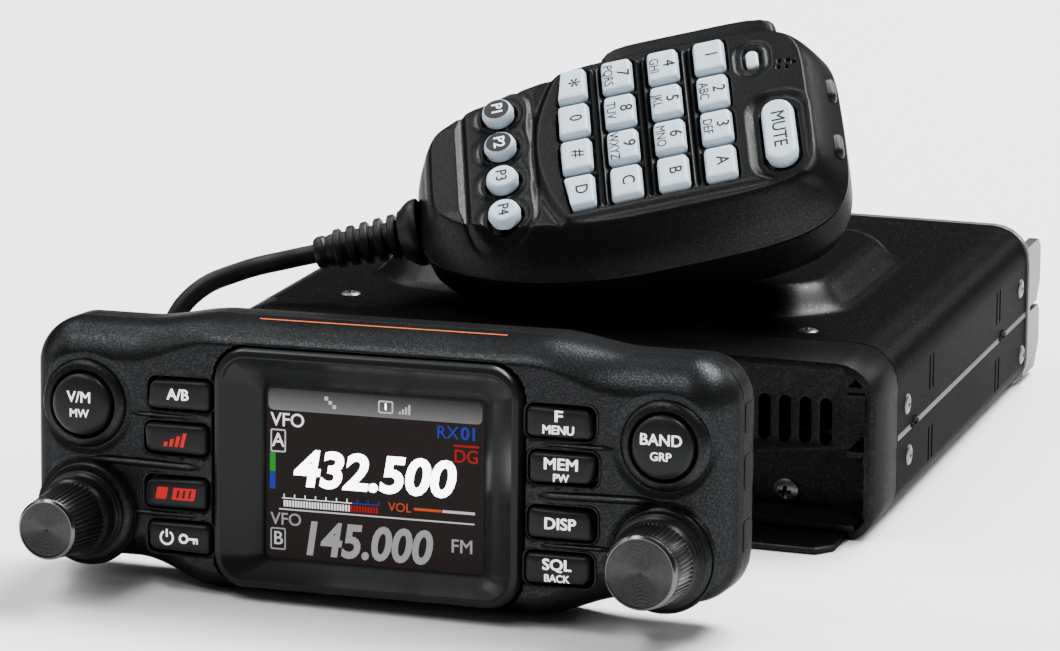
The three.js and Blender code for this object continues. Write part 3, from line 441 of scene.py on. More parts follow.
def finished(name, mesh, material, body, sharp=35, outward=True):
    if outward:
        work = bmesh.new()
        work.from_mesh(mesh)
        bmesh.ops.remove_doubles(work, verts=work.verts, dist=1e-7)
        bmesh.ops.recalc_face_normals(work, faces=work.faces)
        work.to_mesh(mesh)
        work.free()
    mesh.materials.clear()
    mesh.materials.append(material)
    shaded(mesh, sharp)
    obj = bpy.data.objects.new(name, mesh)
    bpy.context.scene.collection.objects.link(obj)
    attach(obj, body)
    return obj


def shell_faces(rows, columns, closed=True, start=0):
    """Quads over a grid of rings; closed joins each ring's last point to its first."""
    faces = []
    for row in range(rows - 1):
        for column in range(columns if closed else columns - 1):
            a = start + row * columns + column
            b = start + row * columns + (column + 1) % columns
            faces.append((a, b, b + columns, a + columns))
    return faces


def loft(name, rings, place, material, body, sharp=35, caps=True):
    """A skin over rings of equal length, closed by a flat cap at each end."""
    count = len(rings[0])
    points = [p for ring in rings for p in ring]
    faces = shell_faces(len(rings), count)
    if caps:
        faces.append(tuple(reversed(range(count))))
        faces.append(tuple(range(len(points) - count, len(points))))
    return piece(name, points, faces, place, material, body, sharp)


def lathe(name, profile, place, material, body, segments=64, sharp=30, wave=None, caps=True):
    """Spins (radius, height) points about the place's z axis; wave may vary the radius round it."""
    rings = []
    for index, (radius, height) in enumerate(profile):
        ring = []
        for i in range(segments):
            angle = math.tau * i / segments
            reach = radius + (wave(index, i) if wave and radius > 0.01 else 0)
            ring.append((reach * math.cos(angle), reach * math.sin(angle), height))
        rings.append(ring)
    return loft(name, rings, place, material, body, sharp, caps)


def closed_lathe(name, profile, place, material, body, segments=72, sharp=40):
    """Spins a closed loop of (radius, height) points into a ring."""
    return lathe(name, profile + [profile[0]], place, material, body, segments, sharp, caps=False)


def rounded_rect(width, height, radius, centre=(0, 0), steps=8):
    """Points round a rectangle with arc corners, counter-clockwise."""
    points = []
    corners = ((1, 1, 0), (-1, 1, 90), (-1, -1, 180), (1, -1, 270))
    for side, rise, start in corners:
        x = centre[0] + side * (width / 2 - radius)
        y = centre[1] + rise * (height / 2 - radius)
        for i in range(steps + 1):
            angle = math.radians(start + 90 * i / steps)
            points.append((x + radius * math.cos(angle), y + radius * math.sin(angle)))
    return points


def facing(points, depth):
    """An outline on the panel's face, at a depth into it."""
    return [(x, depth, z) for x, z in points]


def lying(points, height):
    """An outline on the microphone's face, at a height out of it."""
    return [(x, y, height) for x, y in points]


def box_distance(x, y, half_x, half_y, radius):
    """Signed distance to a rounded rectangle about the origin, negative inside."""
    qx = np.abs(x) - (half_x - radius)
    qy = np.abs(y) - (half_y - radius)
    outside = np.hypot(np.maximum(qx, 0), np.maximum(qy, 0))
    return outside + np.minimum(np.maximum(qx, qy), 0) - radius


def smooth_step(low, high, value):
    t = np.clip((value - low) / (high - low), 0, 1)
    return t * t * (3 - 2 * t)


def clustered(count, low, high, pull=0.8):
    """Evenly spaced values drawn towards both ends."""
    t = np.linspace(-1, 1, count)
    eased = np.sin(t * math.pi / 2)
    return low + (high - low) * ((1 - pull) * t + pull * eased + 1) / 2


def grid_rim(rows, columns):
    """The numbers of a grid's outer points, in order round it."""
    rim = [row * columns for row in range(rows)]
    rim += [(rows - 1) * columns + c for c in range(1, columns)]
    rim += [row * columns + columns - 1 for row in range(rows - 2, -1, -1)]
    return rim + list(range(columns - 2, 0, -1))


def relief(name, across, along, height, back, place, material, body, sharp=50):
    """A moulded face over a warped grid (2-D arrays), closed by a flat back."""
    rows, columns = across.shape
    points = [tuple(p) for p in np.stack([across, along, height], -1).reshape(-1, 3)]
    faces = shell_faces(rows, columns, closed=False)
    rim = grid_rim(rows, columns)
    start = len(points)
    points += [(points[i][0], points[i][1], back) for i in rim]
    count = len(rim)
    for i in range(count):
        j = (i + 1) % count
        faces.append((rim[i], rim[j], start + j, start + i))
    faces.append(tuple(range(start, start + count)))
    return piece(name, points, faces, place, material, body, sharp)


def join(name, objects, material, body, sharp=35):
    """Several made pieces as one; the originals go."""
    work = bmesh.new()
    for obj in objects:
        work.from_mesh(obj.data)
        bpy.data.objects.remove(obj)
    mesh = bpy.data.meshes.new(name)
    work.to_mesh(mesh)
    work.free()
    return finished(name, mesh, material, body, sharp, outward=False)


def applied(obj):
    """Turns an object's modifiers into its mesh, and removes them."""
    graph = bpy.context.evaluated_depsgraph_get()
    mesh = bpy.data.meshes.new_from_object(obj.evaluated_get(graph))
    obj.modifiers.clear()
    obj.data = mesh
    return obj


def carve(obj, cutters, sharp=35):
    """Cuts the cutters out of a piece; they go."""
    for cutter in cutters:
        cutting = obj.modifiers.new("cut", "BOOLEAN")
        cutting.operation = "DIFFERENCE"
        cutting.solver = "EXACT"
        cutting.object = cutter
    applied(obj)
    for cutter in cutters:
        bpy.data.objects.remove(cutter)
    shaded(obj.data, sharp)


def block(name, size, centre, place, material, body, radius=0.5, ease=0.2):
    """A small moulded block: arc corners seen along y, and an eased front edge."""
    (sx, sy, sz), (cx, cy, cz) = size, centre
    rings = []
    for inset, y in ((ease, -sy / 2), (ease * 0.3, -sy / 2 + ease * 0.3), (0, -sy / 2 + ease), (0, sy / 2)):
        outline = rounded_rect(sx - 2 * inset, sz - 2 * inset, max(radius - inset, 0.05), (cx, cz), 4)
        rings.append([(x, cy + y, z) for x, z in outline])
    return loft(name, rings, place, material, body, 40)


# ---------- Legends and printed shapes ----------
PANEL_TEXT = PANEL @ Matrix.Rotation(math.pi / 2, 4, "X")
MIC_TEXT = MIC @ Matrix.Rotation(-math.pi / 2, 4, "Z")


def legend(
    name, words, size, spot, depth, place, material, body, bold=0.02, slant=0.0, squeeze=1.0, swell=0.0
):
    """A printed legend, centred on spot = (right, up) of a face's own frame; overprinting makes it bold."""
    text = bpy.data.curves.new(name, "FONT")
    text.body = words
    text.size = size
    text.align_x = "CENTER"
    text.align_y = "CENTER"
    text.shear = slant
    text.offset = swell * size
    text.resolution_u = 4
    text.fill_mode = "FRONT"
    holder = bpy.data.objects.new(name, text)
    bpy.context.scene.collection.objects.link(holder)
    graph = bpy.context.evaluated_depsgraph_get()
    mesh = bpy.data.meshes.new_from_object(holder.evaluated_get(graph))
    bpy.data.objects.remove(holder)
    mesh.transform(Matrix.Diagonal((squeeze, 1, 1, 1)))
    step = bold * size
    shifts = [(0, 0)]
    if step:
        ways = [(-1, 0), (1, 0), (0, 0.7), (0, -0.7), (0.7, 0.5), (-0.7, -0.5), (-0.7, 0.5), (0.7, -0.5)]
        shifts += [(step * right, step * up) for right, up in ways]
    work = bmesh.new()
    for index, (dx, dy) in enumerate(shifts):
        print_run = mesh.copy()
        print_run.transform(place @ Matrix.Translation((spot[0] + dx, spot[1] + dy, depth + index * 0.002)))
        work.from_mesh(print_run)
        bpy.data.meshes.remove(print_run)
    result = bpy.data.meshes.new(name)
    work.to_mesh(result)
    work.free()
    bpy.data.meshes.remove(mesh)
    return finished(name, result, material, body, outward=False)


def patch(name, width, height, spot, depth, place, material, body, radius=0.01, lean=0.0):
    """A flat printed rectangle."""
    outline = rounded_rect(width, height, radius, spot, 3)
    points = [(x + (y - spot[1]) * lean, y, depth) for x, y in outline]
    return piece(name, points, [tuple(range(len(points)))], place, material, body)


# ---------- The cord ----------
CORD_ROUTE = [
    (-67.2, 8, 42.2),
    (-74.5, 3, 38.6),
    (-78.4, -1, 32.3),
    (-79, -3.2, 25),
    (-79.6, -4.6, 17.5),
    (-78.8, -5.2, 10.5),
    (-75.6, -5.1, 5),
    (-70, -4.8, 2.6),
    (-62.5, -4.6, 2.1),
    (-55, -4.4, 2.1),
    (-47.6, -4.8, 2.1),
    (-41.2, -8, 2.1),
    (-38.3, -13.8, 2.1),
]
COIL_CENTRE = (-16, -28.5)
COIL_STACK = [(22, 2.1), (18, 2.1), (18, 6.1), (22, 6.1), (22, 10.1), (18, 10.1), (18, 14.1), (22, 14.1)]
PLUG_EXIT = (8, -16.5, 14)
BOOT_LENGTH = 22.5
BOOT_Y = -3
BOOT_Z = -13.5
MIC_END = MIC_CENTRE_X - MIC_HALF_LENGTH


def coil_turns():
    """The neat coil: each turn keeps its place in the stack, then steps to the next one."""
    points = []
    start = 165
    for index, (radius, height) in enumerate(COIL_STACK):
        last = index + 1 == len(COIL_STACK)
        keep = 150 if last else 270
        for step in range(0, keep + 1, 15):
            points.append((radius, start + step, height))
        if not last:
            next_radius, next_height = COIL_STACK[index + 1]
            for share in (0.33, 0.67):
                ease = share * share * (3 - 2 * share)
                middle = (radius + (next_radius - radius) * ease, height + (next_height - height) * ease)
                points.append((middle[0], start + keep + 45 * share, middle[1]))
        start += 315
    turns = []
    for radius, angle, height in points:
        x = COIL_CENTRE[0] + radius * math.cos(math.radians(angle))
        y = COIL_CENTRE[1] + radius * math.sin(math.radians(angle))
        turns.append((x, y, height))
    return turns


def make_cord():
    tip = UNIT.inverted() @ (MIC @ Vector((MIC_END - BOOT_LENGTH + 0.2, BOOT_Y, BOOT_Z)))
    after = UNIT.inverted() @ (MIC @ Vector((MIC_END - BOOT_LENGTH - 5, BOOT_Y, BOOT_Z)))
    ending = [(6.6, -24.5, 14.1), (7.5, -20.5, 14.05), (7.95, -17.5, 14), PLUG_EXIT]
    route = [tuple(tip), tuple(after)] + CORD_ROUTE + coil_turns() + ending
    curve = bpy.data.curves.new("microphone_cord", "CURVE")
    curve.dimensions = "3D"
    curve.bevel_depth = CORD_DIAMETER / 2 * MM
    curve.bevel_resolution = 4
    curve.resolution_u = 6
    curve.use_fill_caps = True
    line = curve.splines.new("BEZIER")
    line.bezier_points.add(len(route) - 1)
    for point, spot in zip(line.bezier_points, route):
        point.co = UNIT @ Vector(spot)
        point.handle_left_type = "AUTO"
        point.handle_right_type = "AUTO"
    curve.materials.append(CORD_BLACK)
    cord = bpy.data.objects.new("microphone_cord", curve)
    bpy.context.scene.collection.objects.link(cord)
    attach(cord, "unit")
    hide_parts("mic_cord", "mic_cord_coil")


make_cord()


# ---------- Control panel ----------
def panel_top(x):
    """Upper edge of the panel: level wings and a raised middle."""
    return 24.8 + 2.2 * (1 - smooth_step(32, 49, np.abs(x)))


def panel_bottom(x):
    return -20.8 - 4.6 * (1 - smooth_step(31, 49, np.abs(x)))


def panel_edge(x, inset, corner=9.0):
    """Upper and lower edge at each x, drawn in by an inset, with arc corners."""
    half = PANEL_HALF - inset
    radius = np.maximum(corner - inset, 0.3)
    top = panel_top(x) - inset
    bottom = panel_bottom(x) + inset
    over = np.clip(np.abs(x) - (half - radius), 0, radius)
    drop = radius - np.sqrt(np.maximum(radius * radius - over * over, 0))
    return bottom + drop, top - drop


def panel_ring(inset, steps=150):
    """The outline drawn in by an inset, as one closed ring."""
    half = PANEL_HALF - inset
    xs = clustered(steps, -half, half, 0.75)
    low, high = panel_edge(xs, inset)
    lower = list(zip(xs, low))
    upper = list(zip(xs[::-1], high[::-1]))
    return lower + upper


def shoulder(inset, reach=7.0, depth=9.0):
    """Depth of the rounded edge at a distance in from the outline."""
    share = np.clip((reach - inset) / reach, 0, 1)
    return depth - depth * (1 - share**1.6) ** (1 / 2.12)


KEY_ROWS = [
    (12.5, -37.5, 37.5, "band_select_key", "function_key"),
    (4.0, -38.2, 38.1, "group_monitor_key", "group_memory_key"),
    (-6.3, -38.2, 38.0, "digital_mode_key", "display_key"),
    (-14.8, -37.5, 37.5, "power_key", "squelch_key"),
]
KEY_SPOTS = [(row[1], row[0]) for row in KEY_ROWS] + [(row[2], row[0]) for row in KEY_ROWS]


def rest_on_floor(shell):
    """Flattens what would dip below the floor."""
    spots = np.empty(len(shell.data.vertices) * 3)
    shell.data.vertices.foreach_get("co", spots)
    spots[2::3] = np.maximum(spots[2::3], 0)
    shell.data.vertices.foreach_set("co", spots)
    shell.data.update()


def make_panel_front():
    xs = clustered(430, -PANEL_HALF, PANEL_HALF, 0.55)
    rise = clustered(176, 0, 1, 0.55)
    low, high = panel_edge(xs, 0)
    x = np.repeat(xs[:, None], len(rise), 1)
    z = low[:, None] + (high - low)[:, None] * rise[None, :]
    top, bottom = panel_top(x), panel_bottom(x)
    middle = (top + bottom) / 2
    inset = -box_distance(x, z - middle, PANEL_HALF, (top - bottom) / 2, 9.0)
    inset = np.maximum(inset, 0)
    field = 1 - smooth_step(31, 47, np.abs(x))
    reach = 7.0 - 2.4 * field
    depth = shoulder(inset, reach)
    # A raised plateau carries the display, and falls in a soft step to the wings
    depth = depth - 0.55 * field * smooth_step(1.0, 5.0, inset)
    # Shallow dishes round the round buttons and the knobs
    for side in (-1, 1):
        for at, radius in ((ROUND_Z, 9.2), (KNOB_Z, 10.2)):
            away = np.hypot(x - side * KNOB_X, z - at) - radius
            depth = depth + 0.35 * (1 - smooth_step(-0.6, 0.9, away)) * smooth_step(0, 2, inset)
    wells = np.full_like(x, 99.0)
    for kx, kz in KEY_SPOTS:
        well = box_distance(x - kx, z - kz, KEY_WIDTH / 2 + 0.55, KEY_HEIGHT / 2 + 0.55, 1.6)
        wells = np.minimum(wells, well)
    depth = depth + 3.2 * (1 - smooth_step(-0.28, 0.12, wells))
    bezel = box_distance(x, z - BEZEL_Z, BEZEL_WIDTH / 2 + 0.35, BEZEL_HEIGHT / 2 + 0.35, 6.6)
    depth = depth + 2.4 * (1 - smooth_step(-0.3, 0.1, bezel)) + 4.0 * (1 - smooth_step(-3.2, -2.4, bezel))
    for side in (-1, 1):
        away = np.hypot(x - side * ROUND_X, z - ROUND_Z) - ROUND_RADIUS - 0.55
        depth = depth + 3.0 * (1 - smooth_step(-0.3, 0.1, away))
    depth = np.minimum(depth, 8.6 + 0.4 * (inset < 0.05))
    shell = relief("panel_front_shell", x, z, depth, 9.0, PANEL @ swap_yz(), PANEL_BLACK, "controller")
    rest_on_floor(shell)
    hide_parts("panel_front_case")


def swap_yz():
    """Lets a relief's (across, up, depth) stand as (x, z, y)."""
    return Matrix(((1, 0, 0, 0), (0, 0, 1, 0), (0, 1, 0, 0), (0, 0, 0, 1)))


def make_panel_back():
    profile = [(0.25, 9.3), (0.0, 9.6), (0, 12), (0, 15), (0.25, 16.4), (0.9, 17.4), (1.9, 18.0), (4, 18.0)]
    rings = [facing(panel_ring(inset), depth) for inset, depth in profile]
    shell = loft("panel_back_shell", rings, PANEL, PANEL_BLACK, "controller")
    rest_on_floor(shell)
    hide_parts("panel_rear_case")
    block("panel_socket", (13, 1.2, 11), (27, 17.8, -2), PANEL, WELL_BLACK, "controller", 1.0, 0.1)


def rim_frame(name, width, height, radius, spot, wide, proud):
    """A thin raised lip round a key's well."""
    rings = []
    crest = ((wide * 0.3, -proud), (wide * 0.7, -proud))
    for grow, y in ((0, 0.6), (0, -proud * 0.6), *crest, (wide, -proud * 0.4), (wide, 0.6)):
        outline = rounded_rect(width + 2 * grow, height + 2 * grow, radius + grow, spot, 7)
        rings.append(facing(outline, y))
    rings.append(rings[0])
    return loft(name, rings, PANEL, PANEL_BLACK, "controller", 45, caps=False)


def out_of_panel(x, z):
    """A place on the panel's face whose z axis points out of it."""
    return PANEL @ Matrix.Translation((x, 0, z)) @ Matrix.Rotation(math.pi / 2, 4, "X")


def make_collars():
    made = []
    for side, tag in ((-1, "left"), (1, "right")):
        place = out_of_panel(side * ROUND_X, ROUND_Z)
        loop = [(6.45, -1), (6.45, 0.75), (6.75, 1.0), (7.5, 0.9), (8.1, 0.45), (8.5, -0.2), (8.6, -1)]
        made.append(closed_lathe(f"{tag}_button_collar", loop, place, PANEL_BLACK, "controller"))
        place = out_of_panel(side * KNOB_X, KNOB_Z)
        loop = [(3.6, -0.4), (3.6, 0.75), (8.9, 0.8), (9.3, 0.55)]
        loop += [(9.7, -0.1), (10.0, 0.0), (10.3, -0.35), (10.4, -0.8)]
        made.append(closed_lathe(f"{tag}_knob_collar", loop, place, PANEL_BLACK, "controller"))
    join("panel_collars", made, PANEL_BLACK, "controller", 40)


def rib(name, start, end, z0, z1, thick, proud):
    """A raised rib that tapers to nothing at both ends."""
    rings = []
    steps = 28
    for i in range(steps + 1):
        share = i / steps
        swell = min(1.0, math.sin(math.pi * share) * 2.2) ** 0.7 if 0 < i < steps else 0.02
        x = start + (end - start) * share
        z = z0 + (z1 - z0) * share
        ring = []
        for j in range(12):
            angle = math.tau * j / 12
            ring.append((x, 0.3 - proud * swell * math.cos(angle), z + thick / 2 * swell * math.sin(angle)))
        rings.append(ring)
    return loft(name, rings, PANEL, PANEL_BLACK, "controller", 50)


def make_panel_trim():
    made = []
    for index, (kx, kz) in enumerate(KEY_SPOTS):
        made.append(rim_frame(f"lip_{index}", KEY_WIDTH + 0.9, KEY_HEIGHT + 0.9, 1.7, (kx, kz), 0.5, 0.25))
    for side in (-1, 1):
        made.append(rib("long_rib", side * 31.8, side * 56.5, -1.35, -0.9, 1.7, 1.55))
        made.append(rib("upper_rib", side * 32.6, side * 48, 8.25, 8.2, 1.1, 1.1))
        made.append(rib("lower_rib", side * 32.6, side * 48, -10.55, -10.5, 1.1, 1.1))
    join("panel_ribs_and_lips", made, PANEL_BLACK, "controller", 45)


def make_bezel():
    """The display's frame: a rolled outer edge, a fine bright rim and long sloping inner walls."""
    stages = [
        (BEZEL_WIDTH, BEZEL_HEIGHT, 6.5, 2.6, BEZEL_Z),
        (BEZEL_WIDTH, BEZEL_HEIGHT, 6.5, -0.4, BEZEL_Z),
        (BEZEL_WIDTH - 0.3, BEZEL_HEIGHT - 0.3, 6.4, -1.1, BEZEL_Z),
        (BEZEL_WIDTH - 1.0, BEZEL_HEIGHT - 1.0, 6.1, -1.7, BEZEL_Z),
        (BEZEL_WIDTH - 1.9, BEZEL_HEIGHT - 1.9, 5.7, -1.95, BEZEL_Z),
        (BEZEL_WIDTH - 3.0, BEZEL_HEIGHT - 3.0, 5.2, -2.0, BEZEL_Z),
        (BEZEL_WIDTH - 3.6, BEZEL_HEIGHT - 3.6, 4.9, -1.85, BEZEL_Z),
        (BEZEL_WIDTH - 4.4, BEZEL_HEIGHT - 4.3, 4.5, -1.3, BEZEL_Z),
        (BEZEL_WIDTH - 11.5, BEZEL_HEIGHT - 7.5, 3.2, 0.5, (BEZEL_Z + SCREEN_Z) / 2),
        (SCREEN_WIDTH + 2.2, SCREEN_HEIGHT + 1.8, 1.6, 2.3, SCREEN_Z),
        (SCREEN_WIDTH + 1.2, SCREEN_HEIGHT + 1.0, 1.1, 2.9, SCREEN_Z),
        (SCREEN_WIDTH + 1.0, SCREEN_HEIGHT + 0.8, 1.0, 3.2, SCREEN_Z),
        (BEZEL_WIDTH - 2, BEZEL_HEIGHT - 2, 5, 3.2, BEZEL_Z),
        (BEZEL_WIDTH, BEZEL_HEIGHT, 6.5, 2.6, BEZEL_Z),
    ]
    rings = [facing(rounded_rect(w, h, r, (0, at), 14), y) for w, h, r, y, at in stages]
    bezel = loft("display_bezel_frame", rings, PANEL, BEZEL_BLACK, "controller", 28, caps=False)
    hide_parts("display_bezel")


SCREEN_TEXT = -3.3


def screen_mark(words, size, right, up, material, **shape):
    plain = "".join(c if c.isalnum() else "_" for c in words.lower())
    name = f"display_{plain}_{right:.0f}_{up:.0f}".replace("-", "m")
    return legend(name, words, size, (right, up), SCREEN_TEXT, PANEL_TEXT, material, "controller", **shape)


def screen_bar(name, width, height, right, up, material, **shape):
    tag, spot = "display_" + name, (right, up)
    return patch(tag, width, height, spot, SCREEN_TEXT, PANEL_TEXT, material, "controller", **shape)


def screen_box(name, width, height, line, right, up, material):
    """An outlined box."""
    outer = rounded_rect(width, height, 0.35, (right, up), 3)
    inner = rounded_rect(width - 2 * line, height - 2 * line, 0.2, (right, up), 3)
    points = [(x, y, SCREEN_TEXT) for x, y in outer + inner]
    faces = shell_faces(2, len(outer))
    return piece("display_" + name, points, faces, PANEL_TEXT, material, "controller")


def make_screen():
    glass = rounded_rect(SCREEN_WIDTH + 1.4, SCREEN_HEIGHT + 1.2, 1.0, (0, SCREEN_Z), 4)
    rings = [facing(glass, 4.5), facing(glass, 3.5), facing(glass, 3.36)]
    screen = loft("display_screen", rings, PANEL, SCREEN, "controller")
    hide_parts("display_window")
    top = SCREEN_Z + SCREEN_HEIGHT / 2
    left = -SCREEN_WIDTH / 2
    patch(
        "display_status_bar", SCREEN_WIDTH, 4.1, (0, top - 2.05), SCREEN_TEXT - 0.02,
        PANEL_TEXT, status_bar_finish(top), "controller", radius=1.0,
    )
    screen_box("card_icon", 3.0, 2.4, 0.3, 2.2, top - 2.1, LIT_SOFT)
    screen_mark("1", 1.7, 2.2, top - 2.1, LIT_WHITE, bold=0.03)
    for i in range(4):
        screen_bar(f"signal_icon_{i}", 0.4, 0.5 + 0.45 * i, 5.0 + 0.62 * i, top - 3.0 + 0.225 * i, LIT_SOFT)
    for i in range(3):
        right, up = -9.6 + 0.8 * i, top - 1.3 - 0.75 * i
        screen_bar(f"position_icon_{i}", 0.75, 0.75, right, up, LIT_SOFT, radius=0.2)
    screen_mark("VFO", 3.6, left + 3.9, top - 6.0, LIT_PALE, bold=0.01)
    screen_box("band_a_box", 3.1, 4.4, 0.28, left + 2.0, top - 9.9, LIT_SOFT)
    screen_mark("A", 3.7, left + 2.0, top - 9.9, LIT_PALE, bold=0.008)
    screen_bar("level_green", 1.15, 3.6, left + 0.9, top - 14.0, LIT_GREEN)
    screen_bar("level_blue", 1.15, 3.3, left + 0.9, top - 17.5, LIT_BLUE)
    screen_mark("432.500", 9.4, -0.3, top - 15.2, LIT_WHITE, bold=0.0, slant=0.16, squeeze=1.05, swell=0.034)
    screen_mark("RX", 3.4, left + 35.6, top - 6.1, LIT_BLUE, bold=0.008)
    screen_mark("01", 3.4, left + 39.9, top - 6.1, LIT_BLUE, bold=0.03)
    screen_bar("mode_overline", 4.9, 0.38, left + 39.3, top - 8.35, LIT_RED)
    screen_mark("DG", 3.5, left + 39.3, top - 10.4, LIT_RED, bold=0.012, squeeze=0.95)
    screen_bar("scale_line", 14.0, 0.16, left + 9.8, top - 20.75, LIT_PALE)
    screen_bar("scale_line_end", 5.4, 0.2, left + 19.6, top - 20.75, LIT_BLUE)
    for i in range(10):
        screen_bar(f"scale_{i}", 0.2, 0.85, left + 3.2 + i * 2.1, top - 20.4, LIT_PALE if i < 7 else LIT_BLUE)
    for i in range(34):
        shade = LIT_PALE if i < 24 else LIT_RED
        screen_bar(f"meter_{i}", 0.34, 1.2, left + 3.3 + i * 0.56, top - 21.75, shade)
    screen_mark("VOL", 2.4, left + 26.3, top - 20.9, LIT_ORANGE, bold=0.0)
    screen_bar("volume_set", 5.4, 0.5, left + 31.8, top - 20.9, LIT_ORANGE)
    screen_bar("volume_rest", 6.4, 0.5, left + 37.9, top - 20.9, LIT_SOFT)
    screen_bar("divider", SCREEN_WIDTH - 3.6, 0.28, 0.4, top - 22.9, LIT_SOFT)
    screen_mark("VFO", 3.3, left + 3.6, top - 24.9, LIT_GREY, bold=0.01)
    screen_box("band_b_box", 3.1, 4.2, 0.28, left + 2.0, top - 28.6, LIT_GREY)
    screen_mark("B", 3.6, left + 2.0, top - 28.6, LIT_SOFT, bold=0.01)
    screen_mark("145.000", 8.8, -1.8, top - 28.4, LIT_GREY, bold=0.0, slant=0.16, squeeze=0.92, swell=0.03)
    screen_mark("FM", 3.6, left + 38.6, top - 27.4, LIT_GREY, bold=0.012)


def key_cap(name, width, height, spot, cut_corner):
    """A pressed key: crowned face, eased edges, and outer corners cut where the pair ends."""
    rings = []
    stages = ((0, 5.2), (0, -0.5), (0.12, -0.95), (0.4, -1.28), (0.85, -1.4), (1.8, -1.46))
    for inset, y in stages:
        ring = rounded_rect(width - 2 * inset, height - 2 * inset, max(1.05 - inset * 0.5, 0.3), spot, 5)
        if cut_corner:
            side, rise = cut_corner
            shaped = []
            for x, z in ring:
                over = side * (x - spot[0]) / (width / 2) + rise * (z - spot[1]) / (height / 2) * 0.45
                pull = max(0.0, over - 1.08) * 1.6
                shaped.append((x - side * pull * 1.2, z - rise * pull * 1.0))
            ring = shaped
        rings.append(facing(ring, y))
    cap = loft(name + "_cap", rings, PANEL, KEY_BLACK, name, 50)
    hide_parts(name)


def make_panel_keys():
    words = {
        "band_select_key": [("A/B", 2.9, 0, 0, 1.0)],
        "function_key": [("F", 2.9, 0, 1.15, 1.35), ("MENU", 2.25, 0, -1.35, 1.0)],
        "group_memory_key": [("MEM", 3.0, 0, 0.8, 1.1), ("PW", 2.0, 0, -1.7, 1.0)],
        "display_key": [("DISP", 3.0, 0, 0, 1.05)],
        "squelch_key": [("SQL", 2.9, 0, 0.85, 1.1), ("BACK", 1.9, 0, -1.65, 1.0)],
    }
    for row, (z, left, right, left_name, right_name) in enumerate(KEY_ROWS):
        rise = 1 if row % 2 == 0 else -1
        key_cap(left_name, KEY_WIDTH, KEY_HEIGHT, (left, z), (-1, rise))
        key_cap(right_name, KEY_WIDTH, KEY_HEIGHT, (right, z), (1, rise))
        for name, x in ((left_name, left), (right_name, right)):
            for index, (text, size, dx, dz, squeeze) in enumerate(words.get(name, [])):
                spot = (x + dx, z + dz)
                tag = f"{name}_legend_{index}"
                legend(tag, text, size, spot, 1.5, PANEL_TEXT, WHITE_INK_AND_GLOW, name, 0.03, 0, squeeze)
    make_red_marks()
    make_power_marks()
    for side, name, upper, lower in ((-1, "memory_button", "V/M", "MW"), (1, "band_button", "BAND", "GRP")):
        place = out_of_panel(side * ROUND_X, ROUND_Z)
        profile = [(0.01, -5), (5.9, -5), (5.9, 1.1), (5.75, 1.6), (5.3, 1.95)]
        profile += [(4.6, 2.15), (3, 2.3), (0.01, 2.38)]
        cap = lathe(name + "_cap", profile, place, KEY_BLACK, name, 72, 50)
        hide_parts(name)
        for tag, words_on_it, size, up in (("upper", upper, 2.95, 1.45), ("lower", lower, 2.2, -1.6)):
            spot = (side * ROUND_X, ROUND_Z + up)
            legend(f"{name}_legend_{tag}", words_on_it, size, spot, 2.38, PANEL_TEXT, WHITE_INK_AND_GLOW, name)


def make_red_marks():
    """Plain red marks: rising bars on one key, a wave between two bars on the other."""
    x, z = KEY_ROWS[1][1], KEY_ROWS[1][0]
    for i in range(4):
        tall = 0.9 + 0.6 * i
        spot = (x - 1.8 + 1.2 * i, z - 1.35 + tall / 2)
        patch(f"monitor_mark_{i}", 0.75, tall, spot, 1.5, PANEL_TEXT, RED_INK_AND_GLOW, "group_monitor_key", 0.1, 0.25)
    x, z = KEY_ROWS[2][1], KEY_ROWS[2][0]
    for index, (dx, width) in enumerate(((-2.6, 2.2), (1.9, 4.6))):
        spot = (x + dx, z)
        tag = f"digital_mark_{index}"
        patch(tag, width, 2.3, spot, 1.5, PANEL_TEXT, RED_INK_AND_GLOW, "digital_mode_key", 0.15, 0.2)
    for i in range(3):
        spot = (x + 0.7 + 1.2 * i, z)
        tag = f"digital_notch_{i}"
        patch(tag, 0.45, 1.5, spot, 1.53, PANEL_TEXT, KEY_BLACK, "digital_mode_key", 0.05, 0.2)


def ring_mark(name, radius, line, start, end, spot, body):
    """A printed arc."""
    steps = 28
    points = []
    for reach in (radius - line / 2, radius + line / 2):
        for i in range(steps + 1):
            angle = math.radians(start + (end - start) * i / steps)
            points.append((spot[0] + reach * math.cos(angle), spot[1] + reach * math.sin(angle), 1.5))
    return piece(name, points, shell_faces(2, steps + 1, closed=False), PANEL_TEXT, WHITE_INK_AND_GLOW, body)


def make_power_marks():
    x, z = KEY_ROWS[3][1], KEY_ROWS[3][0]
    ring_mark("power_mark_ring", 1.25, 0.38, 120, 420, (x - 2.3, z), "power_key")
    patch("power_mark_stroke", 0.38, 1.5, (x - 2.3, z + 0.9), 1.5, PANEL_TEXT, WHITE_INK_AND_GLOW, "power_key")
    ring_mark("lock_mark_bow", 0.75, 0.42, 0, 360, (x + 1.1, z), "power_key")
    patch("lock_mark_shank", 2.1, 0.4, (x + 2.9, z), 1.5, PANEL_TEXT, WHITE_INK_AND_GLOW, "power_key")
    for i in range(2):
        spot = (x + 3.2 + 0.65 * i, z - 0.45)
        patch(f"lock_mark_bit_{i}", 0.35, 0.8, spot, 1.5, PANEL_TEXT, WHITE_INK_AND_GLOW, "power_key")


GROOVE_PITCH = 0.24
GROOVE_DEPTH = 0.022


